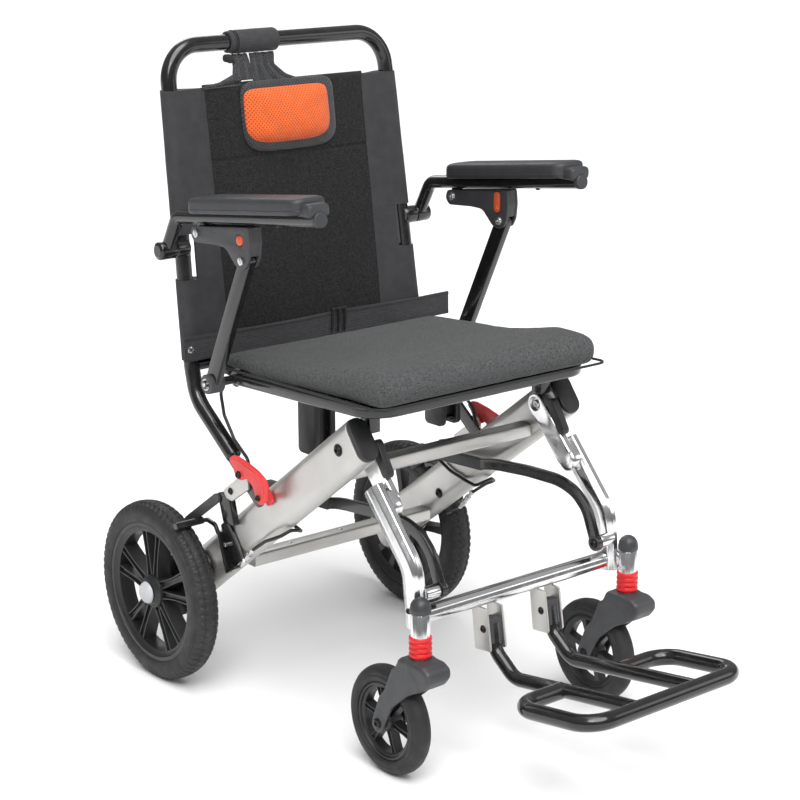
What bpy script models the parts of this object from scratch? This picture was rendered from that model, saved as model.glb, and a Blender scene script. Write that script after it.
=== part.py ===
"""Folding transport wheelchair, modelled for Blender 4.5.

Metres, +Z up. The chair faces -Y, its left side is at +X, and the origin is on the floor
under the middle of its bounding box. Every piece that moves hangs on an empty that stands
on its joint.
"""

from math import ceil, cos, pi, radians, sin, tan

import bmesh
import bpy
from mathutils import Matrix, Vector

COLLECTION = "transport_wheelchair"
GAP = 0.0005
SIDES = (("left", 1), ("right", -1))

# Wheels
AXLE = (0.325, 0.130)
REAR_R = 0.130
REAR_W = 0.040
REAR_X = 0.233
RIM_R = 0.101
CASTER_R = 0.073
CASTER_W = 0.029
CASTER_RIM_R = 0.052
CASTER_X = 0.183
CASTER_AXLE = (-0.1335, 0.073)
SWIVEL_Y = -0.1935

# Lower frame
TUBE_X = 0.1765
TUBE_FRONT = (-0.070, 0.429)
TUBE_SLOPE = radians(37.3)
TUBE_LENGTH = 0.4905
TUBE_TALL = 0.063
TUBE_WIDE = 0.034
TUBE_WALL = 0.0024
LEG_PIVOT = (-0.044, 0.414)
BACK_PIVOT = (0.1197, 0.3091)
MID_BAR = (-0.012, 0.370)
REAR_BAR = (0.203, 0.192)
FRONT_BAR = (-0.170, 0.2205)
POST_R = 0.0125
POST_BOTTOM = 0.1765
POST_TOP = 0.236
LINK_PIVOT = (-0.178, 0.2515)
LEVER_PIVOT = (0.1456, 0.3402)
FOOT_PIVOT = (-0.180, 0.178)
FOOT_ARM_X = 0.051
FOOT_TUBE_R = 0.0108

# Back, seat and arms
BACK_R = 0.011
SEAT_PIVOT = (0.191, 0.459)
SEAT_SLOPE = radians(2.5)
SEAT_HALF = 0.183
SEAT_TUBE_R = 0.008
ARM_X = 0.222
ARM_R = 0.0095
ARM_PIVOT = (0.292, 0.625)
ARM_REAR = (0.223, 0.680)
ARM_FRONT = (-0.052, 0.7138)
BRACKET_PIVOT = (0.205, 0.662)
BRACKET_BOLT = (0.104, 0.640)
BUTTON = (0.108, 0.666)

BODIES = {}


# ---------------------------------------------------------------- scene and materials

def clear_scene():
    for obj in list(bpy.data.objects):
        bpy.data.objects.remove(obj, do_unlink=True)


def collection(name):
    found = bpy.data.collections.new(name)
    bpy.context.scene.collection.children.link(found)
    return found


def material(name, colour, roughness, metallic=0.0):
    mat = bpy.data.materials.new(name)
    mat.use_nodes = True
    shader = mat.node_tree.nodes["Principled BSDF"]
    shader.inputs["Base Color"].default_value = (*colour, 1.0)
    shader.inputs["Roughness"].default_value = roughness
    shader.inputs["Metallic"].default_value = metallic
    mat.diffuse_color = (*colour, 1.0)
    return mat


clear_scene()
PARTS = collection(COLLECTION)

BLACK = material("gloss_black", (0.012, 0.012, 0.013), 0.22)
SILVER = material("satin_aluminium", (0.55, 0.54, 0.52), 0.35, 0.9)
POLISHED = material("polished_aluminium", (0.66, 0.66, 0.67), 0.18, 1.0)
DARK = material("dark_plastic", (0.05, 0.05, 0.055), 0.55)
RED = material("red_plastic", (0.62, 0.02, 0.03), 0.4)
ORANGE = material("orange_plastic", (0.60, 0.10, 0.04), 0.45)
RUBBER = material("tyre_rubber", (0.02, 0.02, 0.022), 0.8)
RIM = material("black_rim", (0.018, 0.018, 0.02), 0.45)
HUB = material("hub_grey", (0.50, 0.51, 0.53), 0.4)
CLOTH = material("grey_cloth", (0.07, 0.07, 0.075), 0.95)
MESH = material("charcoal_cloth", (0.03, 0.03, 0.032), 0.95)
PILLOW = material("orange_cloth", (0.80, 0.13, 0.02), 0.9)
WEBBING = material("grey_webbing", (0.08, 0.08, 0.085), 0.8)
PAD = material("arm_pad_grey", (0.06, 0.06, 0.065), 0.7)


# ---------------------------------------------------------------- bodies

def body(name, at, parent=None):
    """An empty on a joint. Pieces are made in world places and hung on it."""
    pivot = bpy.data.objects.new("pivot_" + name, None)
    pivot.empty_display_size = 0.02
    PARTS.objects.link(pivot)
    at = Vector(at)
    pivot.location = at
    if parent:
        pivot.parent = BODIES[parent][0]
        pivot.location = at - BODIES[parent][1]
    BODIES[name] = (pivot, at)


def hang(obj, on):
    pivot, at = BODIES[on]
    obj.parent = pivot
    obj.location = obj.location - at
    return obj


# ---------------------------------------------------------------- shape helpers

def add(name, data, mat):
    obj = bpy.data.objects.new(name, data)
    PARTS.objects.link(obj)
    if mat:
        data.materials.clear()
        data.materials.append(mat)
    return obj


def smooth(obj, angle=35.0):
    obj.data.shade_smooth()
    obj.data.set_sharp_from_angle(angle=radians(angle))
    return obj


def arc_points(corner, before, after, radius):
    """The points that round one corner of a path."""
    one = (before - corner).normalized()
    two = (after - corner).normalized()
    turn = pi - one.angle(two)
    if radius <= 0 or turn < radians(1):
        return [corner]
    reach = radius * tan(turn / 2)
    centre = corner + (one + two).normalized() * (radius / cos(turn / 2))
    start = corner + one * reach - centre
    axis = start.cross(corner + two * reach - centre).normalized()
    steps = max(2, ceil(turn / radians(32)))
    return [centre + Matrix.Rotation(turn * k / steps, 3, axis) @ start
            for k in range(steps + 1)]


def rounded(points, radius, closed=False):
    """A path or an outline with its corners turned into arcs."""
    points = [Vector(p).to_3d() for p in points]
    radii = radius if isinstance(radius, (list, tuple)) else [radius] * len(points)
    found = []
    for k, point in enumerate(points):
        if not closed and k in (0, len(points) - 1):
            found.append(point)
        else:
            after = points[(k + 1) % len(points)]
            found += arc_points(point, points[k - 1], after, radii[k])
    return found


def add_spline(curve, points, closed):
    spline = curve.splines.new("POLY")
    spline.points.add(len(points) - 1)
    for place, point in zip(spline.points, points):
        place.co = (*point, 1.0)
    spline.use_cyclic_u = closed


def tube(name, points, radius, mat, squeeze=1.0, closed=False, sides=3):
    """A round bar along a path. squeeze makes it narrower along X."""
    curve = bpy.data.curves.new(name, "CURVE")
    curve.dimensions = "3D"
    curve.bevel_depth = radius
    curve.bevel_resolution = sides
    curve.use_fill_caps = not closed
    add_spline(curve, [(p[0] / squeeze, p[1], p[2]) for p in points], closed)
    obj = add(name, curve, mat)
    obj.scale.x = squeeze
    return obj


def slab(name, outlines, thick, mat, at=(0, 0, 0), turn=(0, 0, 0)):
    """A flat outline, with any further outlines as its holes, made thick along its normal."""
    curve = bpy.data.curves.new(name, "CURVE")
    curve.dimensions = "2D"
    curve.fill_mode = "BOTH"
    curve.extrude = thick / 2
    for outline in outlines:
        add_spline(curve, outline, True)
    obj = add(name, curve, mat)
    obj.location = at
    obj.rotation_euler = turn
    return obj


def side_plate(name, outlines, x0, x1, mat):
    """A plate parallel to the chair's side, drawn in Y and Z, from x0 to x1."""
    upright = (pi / 2, 0, pi / 2)
    return slab(name, outlines, abs(x1 - x0), mat, ((x0 + x1) / 2, 0, 0), upright)


def ring_points(centre, radius, count=16):
    return [(centre[0] + radius * cos(2 * pi * k / count),
             centre[1] + radius * sin(2 * pi * k / count), 0) for k in range(count)]


def capsule(one, two, radius, count=6):
    """The outline of a bar with round ends between two points."""
    one, two = Vector(one), Vector(two)
    along = (two - one).normalized()
    start = Vector((-along.y, along.x))
    found = []
    for centre, turned in ((one, 0), (two, pi)):
        for k in range(count + 1):
            spin = Matrix.Rotation(turned + pi * k / count, 2)
            found.append((centre + spin @ start * radius).to_3d())
    return found


def mesh_from(name, maker, mat):
    mesh = bpy.data.meshes.new(name)
    bm = bmesh.new()
    maker(bm)
    bm.to_mesh(mesh)
    bm.free()
    return add(name, mesh, mat)


def rod(name, x0, x1, centre, radius, mat, sides=16):
    """A cylinder along X."""
    turn = Matrix.Rotation(pi / 2, 4, "Y")
    shift = Matrix.Translation(((x0 + x1) / 2, *centre))

    def maker(bm):
        bmesh.ops.create_cone(bm, cap_ends=True, segments=sides, radius1=radius,
                              radius2=radius, depth=abs(x1 - x0), matrix=shift @ turn)
    return smooth(mesh_from(name, maker, mat))


def pillar(name, centre, z0, z1, radius, mat, sides=20):
    """A cylinder along Z."""
    shift = Matrix.Translation((*centre, (z0 + z1) / 2))

    def maker(bm):
        bmesh.ops.create_cone(bm, cap_ends=True, segments=sides, radius1=radius,
                              radius2=radius, depth=z1 - z0, matrix=shift)
    return smooth(mesh_from(name, maker, mat))


def box(name, low, high, mat, bevel=0.0):
    size = [b - a for a, b in zip(low, high)]
    middle = [(a + b) / 2 for a, b in zip(low, high)]
    shift = Matrix.Translation(middle) @ Matrix.Diagonal((*size, 1))

    def maker(bm):
        bmesh.ops.create_cube(bm, size=1.0, matrix=shift)
    obj = mesh_from(name, maker, mat)
    if bevel:
        soften(obj, bevel)
    return obj


def soften(obj, width, segments=2):
    rounding = obj.modifiers.new("rounding", "BEVEL")
    rounding.width = width
    rounding.segments = segments
    rounding.limit_method = "ANGLE"


def turned(name, profile, steps, mat, closed=False):
    """A shape turned round its local Z, from a profile that runs down its outer side."""
    mesh = bpy.data.meshes.new(name)
    edges = [(k, k + 1) for k in range(len(profile) - 1)]
    if closed:
        edges.append((len(profile) - 1, 0))
    mesh.from_pydata([(r, 0, z) for r, z in profile], edges, [])
    obj = add(name, mesh, mat)
    screw = obj.modifiers.new("turn", "SCREW")
    screw.steps = screw.render_steps = steps
    screw.use_merge_vertices = True
    screw.merge_threshold = 0.00005
    return obj


def as_mesh(obj):
    """The evaluated object as a plain mesh object, its caps welded."""
    bpy.context.view_layer.update()
    found = obj.evaluated_get(bpy.context.evaluated_depsgraph_get())
    mesh = bpy.data.meshes.new_from_object(found)
    mesh.transform(obj.matrix_world)
    bm = bmesh.new()
    bm.from_mesh(mesh)
    bmesh.ops.remove_doubles(bm, verts=bm.verts, dist=0.00001)
    bm.to_mesh(mesh)
    bm.free()
    name = obj.name
    mat = obj.data.materials[0] if obj.data.materials else None
    bpy.data.objects.remove(obj, do_unlink=True)
    mesh.name = name
    return add(name, mesh, mat)


def combine(base, joined=(), cut=(), within=()):
    """Joins solids to base, cuts others out, keeps what is within others, as one mesh."""
    base = as_mesh(base)
    for tools, operation in ((joined, "UNION"), (cut, "DIFFERENCE"), (within, "INTERSECT")):
        for tool in tools:
            tool = as_mesh(tool)
            boolean = base.modifiers.new(operation.lower(), "BOOLEAN")
            boolean.operation = operation
            boolean.object = tool
            base = as_mesh(base)
            bpy.data.objects.remove(tool, do_unlink=True)
    return smooth(base, 32)


def slope_point(forward, up):
    """A point in the main tube's side plane, from its front end: along it and square to it."""
    y = TUBE_FRONT[0] + forward * cos(TUBE_SLOPE) + up * sin(TUBE_SLOPE)
    z = TUBE_FRONT[1] - forward * sin(TUBE_SLOPE) + up * cos(TUBE_SLOPE)
    return y, z


def band(line, half):
    """The outline of a flat bar of even width along a line."""
    edges = []
    for k, point in enumerate(line):
        along = (line[min(k + 1, len(line) - 1)] - line[max(k - 1, 0)]).normalized()
        edges.append((point, Vector((-along.y, along.x, 0)) * half))
    return [p + q for p, q in edges] + [p - q for p, q in reversed(edges)]


def oval(wide, tall, count=6):
    """A stadium outline, taller than it is wide."""
    reach = (tall - wide) / 2
    return capsule((0, -reach), (0, reach), wide / 2, count)


# ---------------------------------------------------------------- lower frame

def main_tube(side, s):
    centre = slope_point(TUBE_LENGTH / 2, 0)
    outlines = (oval(TUBE_WIDE, TUBE_TALL),
                oval(TUBE_WIDE - 2 * TUBE_WALL, TUBE_TALL - 2 * TUBE_WALL))
    hang(slab(f"main_tube_{side}", outlines, TUBE_LENGTH, SILVER,
              (s * TUBE_X, *centre), (pi / 2 - TUBE_SLOPE, 0, 0)), "chassis")


def tube_cap(side, s):
    """A plug in the tube's front mouth with a lip that stands just in front of it."""
    wide = TUBE_WIDE - 2 * TUBE_WALL - 2 * GAP
    tall = TUBE_TALL - 2 * TUBE_WALL - 2 * GAP
    turn = (pi / 2 - TUBE_SLOPE, 0, 0)
    lip = slab(f"tube_cap_{side}", (oval(TUBE_WIDE - 0.001, TUBE_TALL - 0.001),), 0.006,
               DARK, (s * TUBE_X, *slope_point(-0.003 - GAP, 0)), turn)
    plug = slab("plug", (oval(wide, tall),), 0.020, DARK,
                (s * TUBE_X, *slope_point(0.007, 0)), turn)
    hang(combine(lip, (plug,)), "chassis")


def crossbars():
    inner = TUBE_X - TUBE_WIDE / 2 - GAP
    for name, (y, z) in (("mid_crossbar", MID_BAR), ("rear_crossbar", REAR_BAR)):
        low = (-inner, y - 0.012, z - 0.009)
        hang(box(name, low, (inner, y + 0.012, z + 0.009), SILVER, 0.003), "chassis")


def axle_housing(side, s):
    """The brake drum's cover, its arm on the main tube's outer face, and the stub axle."""
    face = TUBE_X + TUBE_WIDE / 2 + GAP
    drum = rod(f"axle_housing_{side}", s * face, s * 0.2095, AXLE, 0.044, DARK, 28)
    arm = side_plate("arm", (capsule(AXLE, slope_point(0.430, 0), 0.030),),
                     s * face, s * 0.2025, DARK)
    axle = rod("axle", s * 0.205, s * 0.2530, AXLE, 0.0060, DARK)
    hang(combine(drum, (arm, axle)), "chassis")


def hinge_bracket(side, s):
    """The bright plate between the lever's bolt and the brake arm."""
    outline = rounded(((0.1925, 0.3060), (0.1560, 0.3330), (0.1500, 0.3475), (0.1390, 0.3440),
                       (0.1340, 0.3330), (0.1330, 0.3210), (0.1720, 0.2950),
                       (0.1850, 0.2960)), 0.004, True)
    hang(side_plate(f"hinge_bracket_{side}", (outline,), s * 0.2052, s * 0.2100, SILVER),
         "chassis")


def brake_arm(side, s):
    """The upright and face plate on the main tube, and the bars to the parking shoe."""
    upright = rounded(((0.1880, 0.3015), (0.2145, 0.2965), (0.2020, 0.2560),
                       (0.1760, 0.2560)), 0.003, True)
    stem = side_plate(f"brake_arm_{side}", (upright,), s * 0.1940, s * 0.2048, BLACK)
    face_line = [(*slope_point(0.3185, 0.030), 0), (*slope_point(0.3185, -0.030), 0),
                 (0.1857, 0.1952, 0), (0.1963, 0.1837, 0), (0.2149, 0.2366, 0),
                 (0.2185, 0.2465, 0)]
    face = side_plate("face", (face_line,), s * 0.1940, s * 0.1975, BLACK)
    flange = side_plate("flange", (capsule((0.2145, 0.2366), (0.1963, 0.1850), 0.0018, 3),),
                        s * 0.1955, s * 0.2055, BLACK)
    foot = side_plate("foot", (capsule((0.1950, 0.1870), (0.1760, 0.1975), 0.0022, 3),),
                      s * 0.1940, s * 0.2060, BLACK)
    arch_line = rounded(((0.2149, 0.2366), (0.222, 0.2475), (0.240, 0.2500),
                         (0.2525, 0.2460)), 0.008)
    arch = side_plate("arch", (band(arch_line, 0.0030),), s * 0.2020, s * 0.2060, BLACK)
    reach = side_plate("reach", (capsule((0.2130, 0.2890), (0.2850, 0.2380), 0.0068),),
                       s * 0.2030, s * 0.2090, BLACK)
    shoe = rod("shoe", s * 0.2040, s * 0.2500, (0.2525, 0.2465), 0.0052, BLACK, 12)
    hang(combine(stem, (reach, shoe, face, flange, foot, arch)), "chassis")


def brake_cable(side, s):
    """The lower run of the brake cable, from under the tube to its bright adjuster."""
    route = [(s * 0.1800, 0.0785, 0.2715), (s * 0.1850, 0.0795, 0.2680),
             (s * 0.1915, 0.0855, 0.2640), (s * 0.1975, 0.0975, 0.2580),
             (s * 0.1988, 0.1120, 0.2510), (s * 0.1988, 0.1420, 0.2303)]
    cable = tube(f"brake_cable_{side}", route, 0.0024, BLACK, sides=2)
    adjuster = tube("adjuster", [(s * 0.1988, 0.1400, 0.2325), (s * 0.1988, 0.1675, 0.2026)],
                    0.0044, SILVER, sides=2)
    hang(combine(cable, (adjuster,)), "chassis")


def fold_lever(side, s):
    """The red release lever: an outer cheek, a bridge and a short inner cheek."""
    outline = rounded(((0.1690, 0.3580), (0.1504, 0.3655), (0.1255, 0.3612),
                       (0.1020, 0.3550), (0.0802, 0.3400), (0.0842, 0.3168),
                       (0.0976, 0.3088), (0.1091, 0.3115), (0.1110, 0.3290),
                       (0.1300, 0.3385), (0.1480, 0.3325), (0.1600, 0.3480)),
                      (0.003, 0.012, 0.04, 0.04, 0.012, 0.006, 0.004, 0.003, 0.012, 0.01,
                       0.006, 0.004), True)
    cheek = side_plate(f"fold_lever_{side}", (outline,), s * 0.2112, s * 0.2162, RED)
    bridge_line = rounded(((0.0945, 0.3145), (0.1010, 0.3105), (0.1040, 0.3190),
                           (0.0975, 0.3215)), 0.0005, True)
    bridge = side_plate("bridge", (bridge_line,), s * 0.1945, s * 0.2150, RED)
    inner_line = rounded(((0.0925, 0.3110), (0.1050, 0.3020), (0.122, 0.3190),
                          (0.112, 0.3360)), 0.003, True)
    inner = side_plate("inner", (inner_line,), s * 0.1942, s * 0.1984, RED)
    hang(combine(cheek, (bridge, inner)), f"lever_{side}")


# ---------------------------------------------------------------- front frame

def front_leg(side, s):
    """The oval leg, the flat head inside the main tube, the swivel post and the link's lug."""
    squeeze = 0.72
    path = rounded(((s * 0.1700, -0.0865, 0.3685), (s * 0.1700, -0.1635, 0.2820),
                    (s * 0.1690, -0.1700, 0.206)), (0, 0.05, 0))
    leg = tube(f"front_leg_{side}", path, 0.0166, POLISHED, squeeze)
    boss = rod("boss", s * 0.1450, s * 0.1588, LEG_PIVOT, 0.0166, POLISHED, 20)
    head = side_plate("head", (capsule(LEG_PIVOT, (-0.1000, 0.3530), 0.0150),),
                      s * 0.1480, s * 0.1588, POLISHED)
    socket = side_plate("socket", (capsule((-0.0965, 0.3570), (-0.1060, 0.3463), 0.0148),),
                        s * 0.1482, s * 0.1700, POLISHED)
    post = pillar("post", (s * CASTER_X, SWIVEL_Y), POST_BOTTOM, POST_TOP, POST_R, POLISHED)
    lug = rod("lug", s * 0.1420, s * 0.1660, LINK_PIVOT, 0.0090, POLISHED, 12)
    weld = box("weld", (s * 0.1770 - 0.0040, -0.190, 0.2065),
               (s * 0.1770 + 0.0040, -0.172, 0.232), POLISHED)
    bore = pillar("bore", (s * CASTER_X, SWIVEL_Y), 0.150, 0.2150, 0.0068, None, 16)
    hang(combine(leg, (boss, head, socket, post, lug, weld), (bore,)), "front_frame")


def post_cap(side, s):
    profile = [(0.0, 0.0200)]
    profile += [(0.0136 * sin(a), 0.0065 + 0.0135 * cos(a))
                for a in [radians(22.5 * k) for k in range(1, 5)]]
    profile += [(0.0136, 0.0), (0.0, 0.0)]
    cap = smooth(as_mesh(turned(f"post_cap_{side}", profile, 16, DARK)))
    cap.location = (s * CASTER_X, SWIVEL_Y, POST_TOP + 0.0003)
    hang(cap, "front_frame")


def post_collar(side, s):
    """The ribbed red collar round the foot of the post."""
    inner, outer, groove = POST_R + 0.0003, 0.0144, 0.0009
    z0, z1, ribs = POST_BOTTOM + GAP, POST_BOTTOM + 0.029, 3
    pitch = (z1 - z0) / ribs
    profile = [(inner, z1)]
    for k in range(ribs):
        top = z1 - k * pitch
        profile += [(outer, top), (outer, top - 0.6 * pitch),
                    (outer - groove, top - 0.8 * pitch)]
    profile += [(outer - groove, z0), (inner, z0)]
    collar = smooth(as_mesh(turned(f"post_collar_{side}", profile, 16, RED, True)), 20)
    collar.location = (s * CASTER_X, SWIVEL_Y, 0)
    hang(collar, "front_frame")


def front_crossbar():
    hang(rod("front_crossbar", -0.1562, 0.1562, FRONT_BAR, 0.0114, POLISHED, 20),
         "front_frame")


def foot_bracket(side, s):
    """Two flat plates under the crossbar, joined behind by a block."""
    y, z = FRONT_BAR
    outline = rounded(((y - 0.0150, z - 0.0122), (y + 0.0140, z - 0.0122),
                       (y + 0.0065, z - 0.0715), (y - 0.0240, z - 0.0685)), 0.003, True)
    plates = [side_plate("foot_plate", (outline,), s * (FOOT_ARM_X + d * 0.0113),
                         s * (FOOT_ARM_X + d * 0.0143), SILVER) for d in (-1, 1)]
    block = box("block", (s * FOOT_ARM_X - 0.0125, y + 0.0035, z - 0.0645),
                (s * FOOT_ARM_X + 0.0125, y + 0.0070, z - 0.0325), SILVER)
    bracket = combine(plates[0], (block, plates[1]))
    bracket.name = f"foot_bracket_{side}"
    hang(bracket, "front_frame")


def link_bar(side, s):
    """The flat bar that runs back from the leg beside the main tube."""
    line = rounded(((*LINK_PIVOT,), (-0.1600, 0.2950), (-0.1385, 0.3130), (-0.1080, 0.3225),
                    (-0.0420, 0.3205), (0.0265, 0.3140), (0.0560, 0.3070), (0.1870, 0.2995)),
                   (0, 0.05, 0.05, 0.1, 0.2, 0.2, 0.1, 0))
    bar = side_plate(f"link_bar_{side}", (band(line, 0.0078),), s * 0.1328, s * 0.1408, BLACK)
    eye = rod("eye", s * 0.1328, s * 0.1408, LINK_PIVOT, 0.0105, BLACK, 16)
    hang(combine(bar, (eye,)), f"link_{side}")


# ---------------------------------------------------------------- wheels

def wheel_place(obj, s, x, axle):
    obj.rotation_euler = (0, s * pi / 2, 0)
    obj.location = (s * x, *axle)


def tyre_profile(outer, inner, half):
    """A closed section: down the round outer side and back up the flat inner one."""
    deep = outer - inner
    bulge = [(1 - 0.42 * (1 - cos(a)), sin(a)) for a in
             [radians(v) for v in (90, 45, 0, -45, -90)]]
    profile = [(inner + deep * (0.05 + 0.95 * r), half * z) for r, z in bulge]
    return [(inner, half * 0.86)] + profile + [(inner, -half * 0.86)]


def tyre(name, outer, inner, half, steps, s, x, axle, on):
    obj = smooth(as_mesh(turned(name, tyre_profile(outer, inner, half), steps, RUBBER, True)))
    wheel_place(obj, s, x, axle)
    hang(obj, on)


def spoke(length, start, angle, lean, wide, thick):
    """One spoke as a box from the hub outwards, leaning to one side."""
    def maker(bm):
        shift = (Matrix.Rotation(angle, 4, "Z") @ Matrix.Translation((start, 0, 0))
                 @ Matrix.Rotation(lean, 4, "Z") @ Matrix.Translation((length / 2, 0, 0)))
        bmesh.ops.create_cube(bm, size=1.0,
                              matrix=shift @ Matrix.Diagonal((length, wide, thick, 1)))
    return mesh_from("spoke", maker, RIM)


def rim(name, outer, depth, half, hub, bore, spokes, steps, s, x, axle, on):
    """A rim ring, its spokes and its hub as one wheel centre with a bore for the axle."""
    inner = outer - depth
    ring = turned(name, [(outer, half), (outer, -half), (inner, -half * 0.8),
                         (inner, half * 0.8)], steps, RIM, True)
    barrel = turned("barrel", [(hub, half), (hub, -half), (bore, -half), (bore, half)],
                    16, RIM, True)
    obj = combine(ring, [barrel] + [spoke(*values) for values in spokes])
    wheel_place(obj, s, x, axle)
    hang(obj, on)


def rear_wheel(side, s):
    on = f"rear_wheel_{side}"
    tyre(f"rear_tyre_{side}", REAR_R, RIM_R + 0.0003, REAR_W / 2, 44, s, REAR_X, AXLE, on)
    pairs = [(0.068, 0.020, radians(72 * k + 90 + d * 9), d * 0.14, 0.0085, 0.016)
             for k in range(5) for d in (-1, 1)]
    rim(f"rear_rim_{side}", RIM_R, 0.014, 0.0165, 0.0235, 0.0066, pairs, 36, s, REAR_X,
        AXLE, on)
    profile = [(0.0, 0.0085), (0.007, 0.0080), (0.0125, 0.0055), (0.0160, 0.0015),
               (0.0160, 0.0), (0.0, 0.0)]
    cap = smooth(as_mesh(turned(f"hub_cap_{side}", profile, 16, HUB)))
    cap.rotation_euler = (0, s * pi / 2, 0)
    cap.location = (s * 0.2534, *AXLE)
    hang(cap, on)


def caster(side, s):
    on = f"caster_wheel_{side}"
    tyre(f"caster_tyre_{side}", CASTER_R, CASTER_RIM_R + 0.0003, CASTER_W / 2, 32, s,
         CASTER_X, CASTER_AXLE, on)
    single = [(0.0375, 0.009, radians(60 * k), 0.0, 0.0065, 0.012) for k in range(6)]
    rim(f"caster_rim_{side}", CASTER_RIM_R, 0.0085, 0.0110, 0.0130, 0.0048, single, 28, s,
        CASTER_X, CASTER_AXLE, on)


def caster_fork(side, s):
    """Crown, two swept arms, the wheel's axle and the stem that turns in the post."""
    wide, arm = 0.0215, 0.0050
    crown_line = rounded(((-0.1700, 0.1758), (-0.2200, 0.1758), (-0.2315, 0.1690),
                          (-0.2320, 0.1570), (-0.2228, 0.1454), (-0.1990, 0.1310),
                          (-0.1820, 0.1410), (-0.1611, 0.1563)), 0.006, True)
    arm_line = rounded(((-0.1611, 0.1563), (-0.1900, 0.1680), (-0.2228, 0.1454),
                        (-0.1904, 0.1278), (-0.1607, 0.1023), (-0.1445, 0.0702),
                        (-0.1424, 0.0620), (-0.1240, 0.0585), (-0.1205, 0.0744),
                        (-0.1351, 0.1111), (-0.1455, 0.1233)), 0.006, True)
    crown = side_plate(f"caster_fork_{side}", (crown_line,), s * (CASTER_X - wide),
                       s * (CASTER_X + wide), DARK)
    arms = [side_plate("fork_arm", (arm_line,), s * CASTER_X + d * wide,
                       s * CASTER_X + d * (wide - arm), DARK) for d in (-1, 1)]
    axle = rod("axle", s * CASTER_X - wide + 0.001, s * CASTER_X + wide - 0.001,
               CASTER_AXLE, 0.0042, DARK)
    stem = pillar("stem", (s * CASTER_X, SWIVEL_Y), 0.165, 0.2130, 0.0060, DARK, 16)
    hang(combine(crown, arms + [axle, stem]), f"caster_{side}")


# ---------------------------------------------------------------- footrest

def footrest():
    """An open loop with rounded corners whose two arms run back and up to the brackets."""
    tilt = radians(8.5)
    centre = Vector((0, -0.3780, 0.1452))

    def spot(x, forward):
        return centre + Vector((x, -forward * cos(tilt), forward * sin(tilt)))
    half, depth = 0.1315, 0.0672
    ends = [spot(s * FOOT_ARM_X, -depth) for s in (-1, 1)]
    loop = rounded((ends[0], spot(-half, -depth), spot(-half, depth), spot(half, depth),
                    spot(half, -depth), ends[1]), (0, 0.033, 0.033, 0.033, 0.033, 0))
    arms = [tube("arm", rounded(((s * FOOT_ARM_X, FOOT_PIVOT[0], 0.187),
                                 (s * FOOT_ARM_X, -0.186, 0.1505), spot(s * FOOT_ARM_X, -0.155),
                                 spot(s * FOOT_ARM_X, depth)), (0, 0.03, 0.03, 0)),
                 0.0092, BLACK) for s in (-1, 1)]
    hang(combine(tube("footrest", loop, FOOT_TUBE_R, BLACK), arms), "footrest")


# ---------------------------------------------------------------- back

def back_line(z):
    """Where the back tube's centre is at a height: its place across and fore-and-aft."""
    x = 0.188 + (0.84 - z) * 0.0274
    if z < 0.607:
        y = 0.277 + (z - 0.462) * 0.131
    else:
        y = 0.296 + (z - 0.607) * 0.1342
    return x, y


def back_tube():
    """The upright loop, its hinge plates, arm pivots, seat brackets and upper brake cables."""
    top = 0.892
    half = []
    for z in (0.462, 0.607, top):
        x, y = back_line(z)
        half.append((x, y, z))
    half[-1] = (0.1865, 0.3345, top)
    left = [(0.1995, 0.1780, 0.3550), (0.1995, 0.2640, 0.4180)] + half
    right = [(-x, y, z) for x, y, z in reversed(left)]
    radii = [0, 0.06, 0.08, 0.3, 0.050, 0.050, 0.3, 0.08, 0.06, 0]
    frame = tube("back_tube", rounded(left + right, radii), BACK_R, BLACK)
    joined = []
    for s in (1, -1):
        joined.append(side_plate("hinge", (capsule(BACK_PIVOT, (0.190, 0.3640), 0.0105),),
                                 s * 0.1995, s * 0.2045, BLACK))
        joined.append(rod("boss", s * 0.188, s * 0.2118, ARM_PIVOT, 0.0125, BLACK))
        joined.append(rod("spacer", s * 0.1635, s * 0.195, (0.277, 0.462), 0.0075, BLACK, 12))
        joined.append(side_plate("bracket", (capsule((0.277, 0.462), SEAT_PIVOT, 0.0085),),
                                 s * 0.1635, s * 0.1670, BLACK))
        cable = rounded([(s * 0.2014, y, z) for y, z in
                         ((0.193, 0.457), (0.204, 0.440), (0.197, 0.410), (0.174, 0.380),
                          (0.144, 0.360), (0.137, 0.332))], 0.008)
        joined.append(tube("cable", cable, 0.0022, BLACK, sides=2))
    joined.append(rod("cross", -0.2370, 0.2370, SEAT_PIVOT, 0.0060, BLACK))
    hang(combine(frame, joined), "back_frame")


def strip(name, stations, thick, x0, x1, mat):
    """A thin sheet along X that follows stations of Y and Z."""
    front = [Vector((y - thick / 2, z, 0)) for y, z in stations]
    rear = [Vector((y + thick / 2, z, 0)) for y, z in reversed(stations)]
    return side_plate(name, (front + rear,), x0, x1, mat)


def back_sling():
    """The back's cloth: one thin panel between the uprights."""
    stations = [(back_line(z)[1], z) for z in (0.4725, 0.530, 0.607, 0.720, 0.834)]
    hang(strip("back_sling", stations, 0.007, -0.1740, 0.1740, MESH), "back_frame")


def headrest():
    z0, z1 = 0.744, 0.834
    stations = [(back_line(z)[1] - 0.0165, z) for z in (z0, z1)]
    pillow = as_mesh(strip("headrest", stations, 0.024, -0.0775, 0.0775, PILLOW))
    soften(pillow, 0.008)
    hang(pillow, "back_frame")


def handle_strap():
    """The band round the handle and the strap that runs down from it to the cloth."""
    bar = (0.3345, 0.892)
    band = side_plate("handle_strap", (ring_points(bar, 0.0165, 20),
                                       ring_points(bar, BACK_R + 0.0006, 20)),
                      -0.0765, -0.0075, WEBBING)
    y = back_line(0.836)[1]
    drop = strip("drop", [(y, 0.8365), (0.3345, 0.8785)], 0.006, -0.0745, -0.0100, WEBBING)
    hang(combine(band, (drop,)), "back_frame")


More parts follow.
